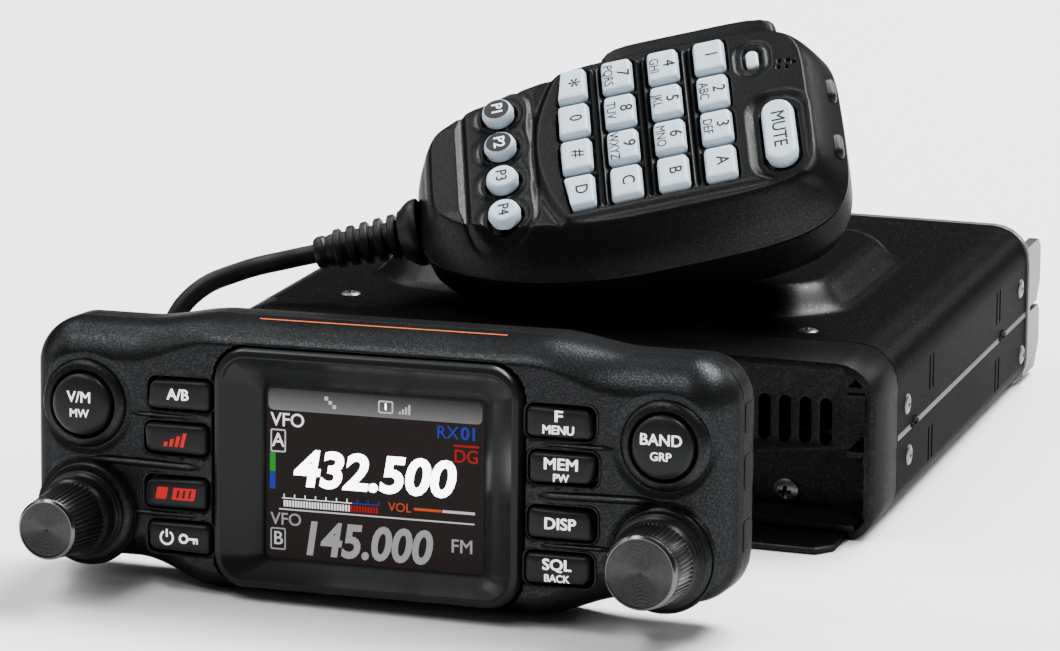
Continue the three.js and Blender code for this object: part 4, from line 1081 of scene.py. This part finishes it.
def make_knob(name, side, length, cap_radius, grip_radius, skirt_radius, flutes, flare):
    """A turned knob: ringed skirt, fluted grip, bevelled bright rim and a spun conical cap."""
    place = out_of_panel(side * KNOB_X, KNOB_Z)
    foot = 1.2
    grip_low = length * 0.36
    profile = [
        (0.01, foot),
        (skirt_radius - 0.1, foot),
        (skirt_radius, foot + 0.35),
        (skirt_radius, foot + 0.9),
        (skirt_radius - 0.35, foot + 1.15),
        (skirt_radius - 0.3, foot + 1.7),
        (skirt_radius - 0.75, foot + 2.1),
        (grip_radius + flare * 0.62 + 0.5, grip_low - 0.5),
        (grip_radius + 0.15, grip_low),
    ]
    grip_start = len(profile)
    profile += [(grip_radius + 0.1, grip_low + 0.1), (grip_radius, grip_low + 0.4)]
    profile += [(grip_radius, (grip_low + length) / 2), (grip_radius - 0.05, length - 1.7)]
    profile.append((grip_radius - 0.15, length - 1.45))
    profile = [(r + (flare * (length - h) / length if i > 7 else 0), h) for i, (r, h) in enumerate(profile)]
    grip_end = len(profile)
    profile += [(grip_radius - 0.1, length - 1.2), (grip_radius - 0.1, length - 0.75)]
    profile += [(cap_radius + 0.1, length - 0.3), (cap_radius - 0.2, length - 0.15)]
    profile += [(cap_radius - 0.25, length - 1.3), (0.01, length - 1.3)]

    def flute(index, i):
        return 0 if not grip_start < index < grip_end else (-0.28 if i % 4 in (0, 1) else 0)

    grip = lathe(name + "_grip", profile, place, KNOB_BLACK, name, flutes * 4, 25, flute)
    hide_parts(name)
    cap_finish = spun_cap(name + "_spun_cap", (side * KNOB_X, -length, KNOB_Z))
    low = length - 0.35
    cap_profile = [(0.01, low - 0.6), (cap_radius - 0.3, low - 0.6), (cap_radius - 0.3, low + 0.16)]
    for reach in np.arange(cap_radius - 0.35, 0.2, -GROOVE_PITCH / 4):
        groove = GROOVE_DEPTH * math.sin(math.tau * reach / GROOVE_PITCH)
        cap_profile.append((reach, low + 0.22 - 0.6 * (1 - reach / cap_radius) + groove))
    cap_profile.append((0.01, low - 0.4))
    lathe(name + "_cap", cap_profile, place, cap_finish, name, 112, 80)
    rim = [(cap_radius - 0.35, low - 0.3), (cap_radius - 0.35, low + 0.3), (cap_radius - 0.2, low + 0.35)]
    rim += [(cap_radius + 0.25, low - 0.1), (cap_radius + 0.3, low - 0.3)]
    closed_lathe(name + "_rim", rim, place, NICKEL_DARK, name, 96, 24)


def make_side_sockets():
    """The covered card slot and jack on the panel's right end."""
    for index, (z, tall) in enumerate(((13.5, 5.6), (3.5, 6.5), (-8.5, 6.0))):
        ring = rounded_rect(5.4, tall, 1.2, (12.6, z), 4)
        points = [[(x, y, z1) for y, z1 in ring] for x in (PANEL_HALF - 0.5, PANEL_HALF + 0.12)]
        inner = [(PANEL_HALF + 0.2, 12.6 + (y - 12.6) * 0.86, z + (z1 - z) * 0.86) for y, z1 in ring]
        loft(f"panel_end_cover_{index}", points + [inner], PANEL, PANEL_BLACK, "controller", 40)


make_panel_front()
make_panel_back()
make_collars()
make_panel_trim()
make_bezel()
make_screen()
make_panel_keys()
make_knob("volume_knob", -1, 18.2, 5.5, 5.75, 8.2, 44, 1.6)
make_knob("dial_knob", 1, 13.2, 6.6, 7.05, 8.7, 56, 0.8)
make_side_sockets()
TOP_LINE = turned(PANEL @ Matrix.Translation((0.5, 6.0, 26.75)), 11.7, "X")
patch("panel_top_line", 49, 0.4, (0, 0), 0.03, TOP_LINE, ORANGE_INK_AND_GLOW, "controller")


# ---------- Hand microphone ----------
PAD_PITCH_X = 9.6
PAD_PITCH_Y = 10.2
PAD_KEY = (6.6, 8.9)
PRESET_X = -30
PRESET_RADIUS = 3.4
MUTE_SPOT = (26.8, -9.8)
LENS_SPOT = (23, 12.8)
KEY_CROWN = 1.3
KEY_PRINT = KEY_CROWN + 0.05
KEY_LOW = -1.45
WELL_DEPTH = 2.4
PAD_NAMES = [["1", "2", "3", "a"], ["4", "5", "6", "b"], ["7", "8", "9", "c"], ["star", "0", "hash", "d"]]
PAD_WORDS = {"2": "ABC", "3": "DEF", "4": "GHI", "5": "JKL", "6": "MNO", "7": "PQRS", "8": "TUV", "9": "WXYZ"}


def mic_half_width(x):
    """Half width of the microphone at a distance from its centre: it narrows towards the cord."""
    return MIC_HALF_WIDTH * (1 - MIC_TAPER * (np.maximum(0, 2 - x) / MIC_HALF_LENGTH) ** 1.7)


def mic_ring(inset_x, inset_y, height, steps=144):
    points = []
    for i in range(steps):
        angle = math.tau * (i + 0.5) / steps
        c, s = math.cos(angle), math.sin(angle)
        x = MIC_HALF_LENGTH * math.copysign(abs(c) ** (2 / 4.5), c)
        y = float(mic_half_width(x)) * math.copysign(abs(s) ** (2 / 4.5), s)
        x *= (MIC_HALF_LENGTH - inset_x) / MIC_HALF_LENGTH
        y *= (MIC_HALF_WIDTH - inset_y) / MIC_HALF_WIDTH
        points.append((MIC_CENTRE_X + x, MIC_CENTRE_Y + y, height))
    return points


def hollow(distance, depth, soft):
    """A sunk area where the distance is negative, with a soft edge outside it."""
    return -depth * (1 - smooth_step(-soft, soft * 0.4, distance))


def crease(distance, depth, width):
    return -depth * np.exp(-((distance / width) ** 2))


def pad_plate_edge(y):
    """The curved end of the raised key plate."""
    return -23.0 + 0.0125 * (y + 0.5) ** 2


def key_limit(y):
    """The line that the end row of keys is trimmed to."""
    return -17.85 + 0.0048 * (y + 0.5) ** 2


def make_mic_front():
    xs = clustered(470, -MIC_HALF_LENGTH, MIC_HALF_LENGTH, 0.5)
    span = clustered(170, -1, 1, 0.5)
    ends = np.maximum(1 - np.abs(xs / MIC_HALF_LENGTH) ** 4.5, 0) ** (1 / 4.5)
    widths = mic_half_width(xs) * ends
    gx = np.repeat(xs[:, None], len(span), 1)
    gy = widths[:, None] * span[None, :]
    across = np.abs(gx) / MIC_HALF_LENGTH
    local = mic_half_width(gx)
    rise = np.abs(gy) / local
    rho = np.maximum(across**4.5 + rise**4.5, 1e-9) ** (1 / 4.5)
    slope_x = across**3.5 * rho**-3.5 / MIC_HALF_LENGTH
    slope_y = rise**3.5 * rho**-3.5 / local
    slope = np.hypot(slope_x, slope_y)
    inset = (1 - rho) / np.maximum(slope, 1e-4) * (1 + 0.2 * (slope_x / np.maximum(slope, 1e-6)) ** 2)
    x = gx + MIC_CENTRE_X
    y = gy + MIC_CENTRE_Y
    shell = -11 * (np.clip(6.8 - inset, 0, 6.8) / 6.8) ** 1.4
    inner = smooth_step(1.0, 5.0, inset)
    plate = smooth_step(-0.9, 0.9, x - pad_plate_edge(y)) * smooth_step(-1.2, 0.8, y + 21.2)
    detail = -0.75 * (1 - plate)
    detail = detail + crease(x - pad_plate_edge(y) + 1.3, 0.35, 1.0)
    presets = box_distance(x + 30.6, y + 1.2, 6.6, 19.6, 4.5)
    detail = detail + 0.3 * (1 - smooth_step(-0.5, 0.3, presets)) + crease(presets - 0.75, 0.4, 0.45)
    nose = np.maximum(np.abs(x + 42.8) / 4.1, np.abs(y + 1) / 13.5)
    detail = detail + 0.5 * (1 - smooth_step(0.82, 1.06, nose))
    wells = np.full_like(x, 99.0)
    for row in range(4):
        for column in range(4):
            kx = (1.5 - row) * PAD_PITCH_X
            ky = (1.5 - column) * PAD_PITCH_Y
            well = box_distance(x - kx, y - ky, PAD_KEY[0] / 2 + 0.42, PAD_KEY[1] / 2 + 0.36, 1.2)
            if row == 3:
                well = np.maximum(well, key_limit(y) - 0.42 - x)
            wells = np.minimum(wells, well)
        py = 12.4 - 9.6 * row
        away = np.hypot(x - PRESET_X, y - py)
        detail = detail + hollow(away - 5.3, 0.55, 0.9) + crease(away - 5.5, 0.12, 0.35)
        wells = np.minimum(wells, away - PRESET_RADIUS - 0.4)
    for gap in (-1, 0, 1):
        aside = np.abs(x - gap * PAD_PITCH_X)
        run = smooth_step(-20.2, -19.2, y) * (1 - smooth_step(18.6, 19.6, y))
        detail = detail + run * (crease(aside, 0.55, 0.3) + 0.34 * np.exp(-(((aside - 0.62) / 0.27) ** 2)))
    dish = box_distance(x - MUTE_SPOT[0], y - MUTE_SPOT[1], 6.4, 12.2, 5.6)
    detail = detail + hollow(dish, 1.0, 1.7)
    mute_well = box_distance(x - MUTE_SPOT[0], y - MUTE_SPOT[1], 3.9, 9.3, 3.8)
    wells = np.minimum(wells, mute_well)
    eye = box_distance(x - LENS_SPOT[0], y - LENS_SPOT[1], 3.3, 4.4, 3.0)
    detail = detail + crease(eye, 0.4, 0.5) + hollow(eye + 1.3, 0.9, 0.35)
    detail = detail - WELL_DEPTH * (1 - smooth_step(-0.28, 0.1, wells))
    for hx, hy in ((28.5, 10.6), (30.2, 10.4), (28.2, 8.9), (29.9, 8.6), (31.4, 9.6)):
        detail = detail - 0.8 * (1 - smooth_step(0.25, 0.6, np.hypot(x - hx, y - hy)))
    height = shell + detail * inner
    notch = np.maximum(np.maximum(-9.6 - x, x - 28.6), 23.2 - (28.6 - x) * 0.05 - y)
    height = np.where(notch < 0, np.minimum(height, -9.9), height)
    height = np.maximum(height, MIC_SEAM + 0.02)
    cover = relief("microphone_front_shell", x, y, height, MIC_SEAM, MIC, MIC_BLACK, "microphone")
    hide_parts("mic_front_case")


def make_mic_rear():
    stations = [(-11.3, 0, 0), (-18.5, 0.5, 0.8), (-23.3, 2.4, 3.4), (-26.3, 5.6, 7.4), (-27.5, 9, 11)]
    heights = np.linspace(-11.3, MIC_BACK, 22)
    heights[-3:] = (-26.6, -27.1, MIC_BACK)
    known = [s[0] for s in stations][::-1]
    rings = [mic_ring(0.25, 0.25, -11.3), mic_ring(0, 0, -11.45)]
    for height in heights[1:]:
        inset_x = float(np.interp(height, known, [s[1] for s in stations][::-1]))
        inset_y = float(np.interp(height, known, [s[2] for s in stations][::-1]))
        rings.append(mic_ring(inset_x, inset_y, height))
    cover = loft("microphone_rear_shell", rings, MIC, MIC_BLACK, "microphone", 40)
    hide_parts("mic_rear_case")


def pale_key(name, outline):
    """A key of the hand microphone: outline(inset) gives its ring."""
    rings = []
    foot = ((0.34, KEY_LOW), (0.26, -0.9), (0.05, -0.1))
    head = ((0.32, -0.5), (0.45, -0.22), (0.72, -0.05), (1.15, 0), (1.8, 0.03))
    for inset, height in foot + tuple((inset, KEY_CROWN + below) for inset, below in head):
        rings.append(lying(outline(inset), height))
    cap = loft(name + "_cap", rings, MIC, KEY_PALE, name, 50)
    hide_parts(name)


def trimmed(points, centre):
    """End keys follow the curved end of the key plate."""
    return [(max(x, key_limit(y)) if x < centre[0] else x, y) for x, y in points]


def make_mic_keys():
    for row in range(4):
        for column in range(4):
            tag = PAD_NAMES[row][column]
            name = "pad_key_" + tag
            spot = ((1.5 - row) * PAD_PITCH_X, (1.5 - column) * PAD_PITCH_Y)

            def outline(inset, spot=spot, row=row):
                corner = max(1.0 - inset * 0.5, 0.3)
                ring = rounded_rect(PAD_KEY[0] - 2 * inset, PAD_KEY[1] - 2 * inset, corner, spot, 6)
                return trimmed(ring, spot) if row == 3 else ring

            pale_key(name, outline)
            word = {"star": "*", "hash": "#"}.get(tag, tag.upper())
            letters = PAD_WORDS.get(tag)
            up = 1.35 if letters else 0.5
            size = 3.7 if tag != "star" else 5.4
            place = (-spot[1], spot[0] + up - (0.7 if tag == "star" else 0))
            legend(name + "_number", word, size, place, KEY_PRINT, MIC_TEXT, DARK_INK, name, 0.013)
            if letters:
                place = (-spot[1] + 0.1, spot[0] - 1.7)
                tag = name + "_letters"
                legend(tag, letters, 2.75, place, KEY_PRINT, MIC_TEXT, DARK_INK, name, 0.009, 0, 0.92)
    for index in range(4):
        name = f"preset_key_{index + 1}"
        spot = (PRESET_X, 12.4 - 9.6 * index)

        def disc(inset, spot=spot):
            reach = PRESET_RADIUS - inset
            turns = np.linspace(0, math.tau, 48)[:-1]
            return [(spot[0] + reach * math.cos(a), spot[1] + reach * math.sin(a)) for a in turns]

        pale_key(name, disc)
        if index < 2:
            dark = lying(disc(0.75), KEY_PRINT)
            piece(name + "_label", dark, [tuple(range(len(dark)))], MIC, DARK_INK, name)
        ink = WHITE_INK_AND_GLOW if index < 2 else DARK_INK
        place = (-spot[1], spot[0])
        legend(name + "_legend", f"P{index + 1}", 3.2, place, KEY_PRINT + 0.02, MIC_TEXT, ink, name, 0.016)

    def pill(inset):
        return rounded_rect(6.8 - 2 * inset, 17.6 - 2 * inset, 3.38 - inset, MUTE_SPOT, 10)

    pale_key("mute_key", pill)
    place = (-MUTE_SPOT[1], MUTE_SPOT[0])
    legend("mute_key_legend", "MUTE", 4.0, place, KEY_PRINT, MIC_TEXT, DARK_INK, "mute_key", 0.01, 0, 0.98)
    lens = [
        lying(rounded_rect(2.5 - 2 * i, 4.9 - 2 * i, 1.2 - i, LENS_SPOT, 8), h)
        for i, h in ((0, -2), (0, -0.35), (0.15, -0.12), (0.5, 0.0))
    ]
    loft("microphone_lens", lens, MIC, KEY_PALE, "microphone", 50)


def make_mic_sides():
    stations = [(-9.0, 26.4, 1.2), (-8.4, 27.4, 0.5), (-7.2, 28.4, 0.1), (-5.6, 29.1, 0)]
    stations += [(-3, 29.5, 0), (0, 29.6, 0), (18, 29.6, 0), (22, 29.4, 0)]
    stations += [(25, 28.9, 0), (27, 28.1, 0.2), (27.7, 27.5, 0.6), (28, 26.6, 1.2)]
    rings = []
    for x, reach, inset in stations:
        outline = rounded_rect(reach - 23.5, 5.4 - 2 * inset, 1.4, ((reach + 23.5) / 2, -6.7), 6)
        rings.append([(x, y, z) for y, z in outline])
    bar = loft("talk_bar_grip", rings, MIC, MIC_BLACK, "talk_bar", 45)
    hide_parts("talk_bar")
    for name, y in (("up_button", 7), ("down_button", -9)):
        rings = []
        for inset, x in ((0, 33.6), (0, 37.6), (0.3, 38.0), (0.8, 38.25), (1.2, 38.3)):
            outline = rounded_rect(6 - 2 * inset, 3.0 - 2 * inset, 1.45 - inset, (y, -8.0), 5)
            rings.append([(x, along, up) for along, up in outline])
        cap = loft(name + "_cap", rings, MIC, CORD_BLACK, name, 45)
        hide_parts(name)
    place = MIC @ Matrix.Translation((MIC_END, BOOT_Y, BOOT_Z)) @ Matrix.Rotation(-math.pi / 2, 4, "Y")
    profile = [(0.01, 0.0), (6.9, 0.0), (7.0, 0.6), (6.8, 1.6), (6.2, 2.6)]
    profile += [(5.5, 3.4), (5.0, 4.2), (3.6, 4.6)]
    for index in range(5):
        start = 4.9 + index * 2.9
        wide = 4.75 - index * 0.16
        profile += [(3.35, start), (wide - 0.25, start + 0.12), (wide, start + 0.4), (wide, start + 1.35)]
        profile += [(wide - 0.25, start + 1.63), (3.35, start + 1.8), (3.3, start + 2.7)]
    profile += [(3.0, 19.9), (3.3, 20.2), (3.4, 20.6), (3.3, 21.8), (2.9, 22.4), (2.3, 22.5), (0.01, 22.5)]
    boot = lathe("cord_strain_relief", profile, place, CORD_BLACK, "microphone", 56, 40)
    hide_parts("cord_boot")


make_mic_front()
make_mic_rear()
make_mic_keys()
make_mic_sides()


# ---------- Main unit ----------
TOP_SIDE_FACES = 16
FIELD_FACES = 128


def section_points(half, low, high, corner, field):
    """Half-way round the case, from one side's edge over the top to the other, with outward normals."""
    points = []
    for z in np.linspace(low, high - corner, TOP_SIDE_FACES):
        points.append((half, z, 1.0, 0.0))
    for step in range(1, 19):
        angle = math.radians(90 * step / 18)
        c, s = math.cos(angle), math.sin(angle)
        points.append((half - corner + corner * c, high - corner + corner * s, c, s))
    for x in np.linspace(half - corner, -(half - corner), field)[1:-1]:
        points.append((x, high, 0.0, 1.0))
    for step in range(18, 0, -1):
        angle = math.radians(90 * step / 18)
        c, s = math.cos(angle), math.sin(angle)
        points.append((-(half - corner + corner * c), high - corner + corner * s, -c, s))
    for z in np.linspace(high - corner, low, TOP_SIDE_FACES):
        points.append((-half, z, -1.0, 0.0))
    return np.array(points)


def hump(x, y):
    """The pressed field that stands above the cover, with cut corners and rolled edges."""
    aside = HUMP_HALF_WIDTH - np.abs(x)
    fore = y - HUMP_FRONT
    aft = HUMP_REAR - y
    corner = (aside + np.minimum(fore, aft) - 10) / math.sqrt(2)
    spread = 1.4
    inset = -spread * np.log(sum(np.exp(-distance / spread) for distance in (aside, fore, aft, corner)))
    return HUMP_HEIGHT * smooth_step(-0.6, 6.2, inset)


def cover_shell(name, section, ys, lift, wall, material, body):
    """A folded sheet: an outer skin lifted along its normals by lift(x, y), and an inner one."""
    outer, inner = [], []
    for y in ys:
        for x, z, nx, nz in section:
            up = float(lift(np.float64(x), np.float64(y))) * max(nz, 0) if abs(nz) > 0.99 else 0.0
            outer.append((x, y, z + up))
            inner.append((x - nx * wall, y, z + up - nz * wall))
    rows, columns = len(ys), len(section)
    points = outer + inner
    count = rows * columns
    faces = shell_faces(rows, columns, closed=False)
    faces += [tuple(count + i for i in reversed(face)) for face in faces[:]]
    rim = grid_rim(rows, columns)
    for i, a in enumerate(rim):
        b = rim[(i + 1) % len(rim)]
        faces.append((a, b, b + count, a + count))
    return piece(name, points, faces, UNIT, material, body, 40)


def slot_cutters(spots):
    """Upright slots through both sides, as one cutting solid."""
    made = []
    for y, z in spots:
        for side in (-1, 1):
            rings = []
            for x in (UNIT_HALF - 4, UNIT_HALF + 2):
                outline = rounded_rect(1.1, 7.4, 0.54, (y, z), 4)
                rings.append([(side * x, along, up) for along, up in outline])
            made.append(loft("slot", rings, UNIT, WELL_BLACK, "unit"))
    return join("slot_cutters", made, WELL_BLACK, "unit")


SLOT_YS = [44.5 - 1.4, 44.5 + 1.4, 103 - 1.4, 103 + 1.4]


def make_covers():
    section = section_points(UNIT_HALF, SPLIT_HIGH, UNIT_HEIGHT, SHOULDER, FIELD_FACES)
    ys = np.concatenate([[17.3, 17.5], np.linspace(18.2, 129.0, 118), [129.7]])
    top = cover_shell("top_cover_shell", section, ys, hump, 1.4, ENAMEL, "unit")
    carve(top, [slot_cutters([(y, 24.0) for y in SLOT_YS])])
    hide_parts("top_cover")
    section = section_points(UNIT_HALF, 0.0, SPLIT_LOW, SOLE, 24)
    section[:, 1] = SPLIT_LOW - section[:, 1]
    section[:, 3] = -section[:, 3]
    ys = np.concatenate([[17.3, 17.5], np.linspace(18.2, 129.0, 40), [129.7]])
    bottom = cover_shell("bottom_cover_shell", section, ys, lambda x, y: 0.0, 1.4, ENAMEL, "unit")
    carve(bottom, [slot_cutters([(y, 9.0) for y in SLOT_YS])])
    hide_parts("bottom_cover")
    outline = [(20, 16), (20, -8.5), (22.5, -12), (61, -12), (64, -8.5), (64, 16)]
    rings = []
    for inset, z in ((0.25, 0.15), (0, 0.35), (0, 1.15), (0.25, 1.4)):
        ring = [(x + (inset if x < 42 else -inset), y + (inset if y < 0 else 0), z) for x, y in outline]
        rings.append(ring)
    loft("underside_plate", rings, UNIT, FRAME_BLACK, "unit", 30)


def softened(name, node, width, material, body, sharp=30):
    """A close copy of a plain node with its sharp edges eased."""
    mesh = NODES[node].data.copy()
    obj = finished(name, mesh, material, body, sharp)
    easing = obj.modifiers.new("ease", "BEVEL")
    easing.width = width * MM
    easing.segments = 2
    easing.limit_method = "ANGLE"
    easing.angle_limit = math.radians(38)
    easing.use_clamp_overlap = True
    applied(obj)
    shaded(obj.data, sharp)
    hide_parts(node)


def screw_tree():
    """Geometry nodes: one countersunk cross-head screw at each point, turned to the point's facing."""
    tree = bpy.data.node_groups.new("screw_row", "GeometryNodeTree")
    face = tree.interface
    face.new_socket("Places", in_out="INPUT", socket_type="NodeSocketGeometry")
    face.new_socket("Screw", in_out="INPUT", socket_type="NodeSocketObject")
    face.new_socket("Finish", in_out="INPUT", socket_type="NodeSocketMaterial")
    face.new_socket("Screws", in_out="OUTPUT", socket_type="NodeSocketGeometry")
    kinds = {
        "given": "NodeGroupInput",
        "source": "GeometryNodeObjectInfo",
        "way": "GeometryNodeInputNamedAttribute",
        "size": "GeometryNodeInputNamedAttribute",
        "turn": "FunctionNodeAlignRotationToVector",
        "copies": "GeometryNodeInstanceOnPoints",
        "real": "GeometryNodeRealizeInstances",
        "paint": "GeometryNodeSetMaterial",
        "result": "NodeGroupOutput",
    }
    made = {tag: tree.nodes.new(kind) for tag, kind in kinds.items()}
    made["way"].data_type = "FLOAT_VECTOR"
    made["way"].inputs["Name"].default_value = "facing"
    made["size"].inputs["Name"].default_value = "size"
    made["turn"].axis = "Z"
    links = [
        ("given", "Places", "copies", "Points"),
        ("given", "Screw", "source", "Object"),
        ("source", "Geometry", "copies", "Instance"),
        ("way", "Attribute", "turn", "Vector"),
        ("turn", "Rotation", "copies", "Rotation"),
        ("size", "Attribute", "copies", "Scale"),
        ("copies", "Instances", "real", "Geometry"),
        ("real", "Geometry", "paint", "Geometry"),
        ("given", "Finish", "paint", "Material"),
        ("paint", "Geometry", "result", "Screws"),
    ]
    for giver, output, taker, socket in links:
        tree.links.new(made[giver].outputs[output], made[taker].inputs[socket])
    return tree


def modelled_screw():
    """A unit-radius screw head with a cross recess; its z axis points out."""
    profile = [(0.01, -0.5), (0.94, -0.5), (1.0, -0.1), (0.97, 0.06), (0.8, 0.16), (0.5, 0.23), (0.01, 0.26)]
    head = lathe("screw_pattern", profile, Matrix.Identity(4), SCREW_BLACK, "unit", 28, 30)
    arms = []
    for turn in (0, 90):
        spin = Matrix.Rotation(math.radians(turn), 4, "Z")
        rings = []
        for z, long, wide in ((-0.15, 0.18, 0.10), (0.4, 0.62, 0.17)):
            rings.append([(x, y, z) for x, y in ((-long, -wide), (long, -wide), (long, wide), (-long, wide))])
        arms.append(loft("arm", rings, spin, WELL_BLACK, "unit"))
    for arm in arms:
        carve(head, [arm], sharp=30)
    return head


def make_screws():
    tree = screw_tree()
    head = modelled_screw()
    side = [(25, 21.9), (27, 10.9), (124, 23.5), (126.5, 8)]
    on_sides = [((s * (UNIT_HALF - 0.05), y, z), (s, 0, 0)) for s in (-1, 1) for y, z in side]
    on_top = [((s * 49, 24, UNIT_HEIGHT - 0.1), (0, 0, 1)) for s in (-1, 1)]
    in_bay = [((48.6, BAY_DEPTH - 0.35, 5.7), (0, -1, 0))]
    rows = [
        ("side_screws", SCREW_SILVER, 2.15, on_sides),
        ("top_screws", SCREW_SILVER, 2.1, on_top),
        ("bay_screw", SCREW_BLACK, 2.7, in_bay),
    ]
    for name, material, size, places in rows:
        mesh = bpy.data.meshes.new(name)
        mesh.from_pydata([UNIT @ Vector(spot) for spot, _ in places], [], [])
        ways = mesh.attributes.new("facing", "FLOAT_VECTOR", "POINT")
        ways.data.foreach_set("vector", [c for _, way in places for c in way])
        sizes = mesh.attributes.new("size", "FLOAT", "POINT")
        sizes.data.foreach_set("value", [size * MM] * len(places))
        row = bpy.data.objects.new(name, mesh)
        bpy.context.scene.collection.objects.link(row)
        grower = row.modifiers.new("screws", "NODES")
        grower.node_group = tree
        sockets = {item.name: item.identifier for item in tree.interface.items_tree if item.in_out == "INPUT"}
        grower[sockets["Screw"]] = head
        grower[sockets["Finish"]] = material
        applied(row)
        shaded(row.data, 30)
        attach(row, "unit")
    bpy.data.objects.remove(head)


def screw_seats():
    """The dimple round each screw head."""
    made = []
    for s in (-1, 1):
        place = UNIT @ Matrix.Translation((s * 49, 24, UNIT_HEIGHT))
        loop = [(2.1, -0.4), (2.15, 0.05), (2.7, 0.12), (3.1, 0.02), (3.1, -0.4)]
        made.append(closed_lathe("seat", loop, place, ENAMEL, "unit", 40))
    join("screw_seats", made, ENAMEL, "unit")


def make_bay_fittings():
    """Catches, guide strips and locating tabs on the bay's right wall."""
    made = []
    wall = UNIT_HALF - FRAME_WALL
    made.append(block("strip", (1.2, 9.0, 26), (wall - 0.4, 5.6, 17.0), UNIT, FRAME_BLACK, "unit", 0.2))
    for z in (16.2, 5.0):
        rings = []
        for y, reach in ((2.2, 0.4), (7.5, 4.2), (8.2, 4.2)):
            root, end = wall - 1, wall - 1 - reach
            rings.append([(root, y, z - 1.4), (end, y, z - 1.2), (end, y, z + 0.1), (root, y, z + 1.6)])
        made.append(loft("catch", rings, UNIT, FRAME_BLACK, "unit"))
    for z, reach in ((28.6, 5.0), (23.0, 1.6), (9.5, 2.0)):
        centre = (wall - reach / 2, 6.4, z)
        made.append(block("tab", (reach, 7.5, 0.8), centre, UNIT, FRAME_BLACK, "unit", 0.1))
    for z, tall in ((20.5, 5), (12.0, 4)):
        made.append(block("post", (1.6, 4.0, tall), (wall - 1.4, 8.6, z), UNIT, FRAME_BLACK, "unit", 0.2))
    join("bay_fittings", made, FRAME_BLACK, "unit", 30)


def make_strip_clips():
    """Small dark clips that hold the covers to the bright strip."""
    made = []
    for side in (-1, 1):
        for y in (31, 107):
            spot = Matrix.Translation((side * (UNIT_HALF - 0.1), y, 0))
            place = UNIT @ spot @ Matrix.Rotation(math.pi / 2, 4, "Z")
            made.append(block("clip", (5.2, 0.9, 1.0), (0, 0, 16.55), place, ENAMEL, "unit", 0.3, 0.15))
            made.append(block("clip", (2.6, 0.9, 2.0), (0, 0, 16.9), place, ENAMEL, "unit", 0.3, 0.15))
    join("strip_clips", made, ENAMEL, "unit", 30)


make_covers()
make_strip_clips()
softened("front_frame_eased", "front_frame", 0.35, FRAME_BLACK, "unit", 32)
softened("chassis_eased", "chassis", 0.3, CAST, "unit", 32)
make_bay_fittings()
screw_seats()
make_screws()

# ---------- Finishes of the plain nodes ----------
PLAIN_FINISH = {
    "fan_rotor": KEY_BLACK,
    "main_board": BOARD,
    "speaker": STEEL,
    "microphone_jack": WELL_BLACK,
    "antenna_socket": NICKEL,
    "power_inlet": KEY_BLACK,
    "mic_plug": smooth_plastic("clear_plug_plastic", (0.5, 0.52, 0.54, 1), 0.2),
    "display_module": STEEL,
    "control_board": BOARD,
    "mic_board": BOARD,
    "hanger_stud": NICKEL,
}
for node_name, finish in PLAIN_FINISH.items():
    plain = NODES[node_name].data
    plain.materials.clear()
    plain.materials.append(finish)


# ---------- Floor and light ----------
FLOOR_HALF = 3.0
WORLD_GLOW = 0.1


def make_stage():
    side = FLOOR_HALF
    corners = [(-side, -side, 0), (side, -side, 0), (side, side, 0), (-side, side, 0)]
    mesh = bpy.data.meshes.new("floor")
    mesh.from_pydata(corners, [], [(0, 1, 2, 3)])
    mesh.materials.append(floor_paper("pale_paper"))
    floor = bpy.data.objects.new("floor", mesh)
    bpy.context.scene.collection.objects.link(floor)
    world = bpy.data.worlds.new("studio")
    world.use_nodes = True
    background = world.node_tree.nodes["Background"].inputs
    background["Color"].default_value = (1, 1, 1, 1)
    background["Strength"].default_value = WORLD_GLOW
    bpy.context.scene.world = world
    lamps = [
        ("sky_light", (0.6, 1.5, 2.5), (2.0, 1.0), 280, (0, 0.6, 0)),
        ("key_light", (0.62, 0.2, 1.1), (0.4, 0.4), 9, (0, 0, 0.05)),
        ("panel_light", (-0.4, -0.4, 1.1), (0.6, 0.2), 7, (0, -0.05, 0.03)),
        ("face_light", (-0.75, 0.35, 1.05), (0.5, 0.5), 8, (0, 0.02, 0.07)),
        ("shoulder_light", (0.95, 1.9, 0.85), (0.6, 0.3), 22, (0, 0.05, 0.03)),
        ("left_light", (-1.3, -0.3, 0.75), (0.3, 1.1), 7, (0, 0, 0.03)),
        ("front_light", (-0.5, -1.2, 1.5), (1.4, 0.3), 7, (0, 0, 0.03)),
    ]
    for name, spot, (width, height), power, target in lamps:
        lamp = bpy.data.lights.new(name, "AREA")
        lamp.shape = "RECTANGLE"
        lamp.size = width
        lamp.size_y = height
        lamp.energy = power
        holder = bpy.data.objects.new(name, lamp)
        aim = Vector(target) - Vector(spot)
        holder.rotation_euler = aim.to_track_quat("-Z", "Y").to_euler()
        holder.location = spot
        bpy.context.scene.collection.objects.link(holder)


make_stage()
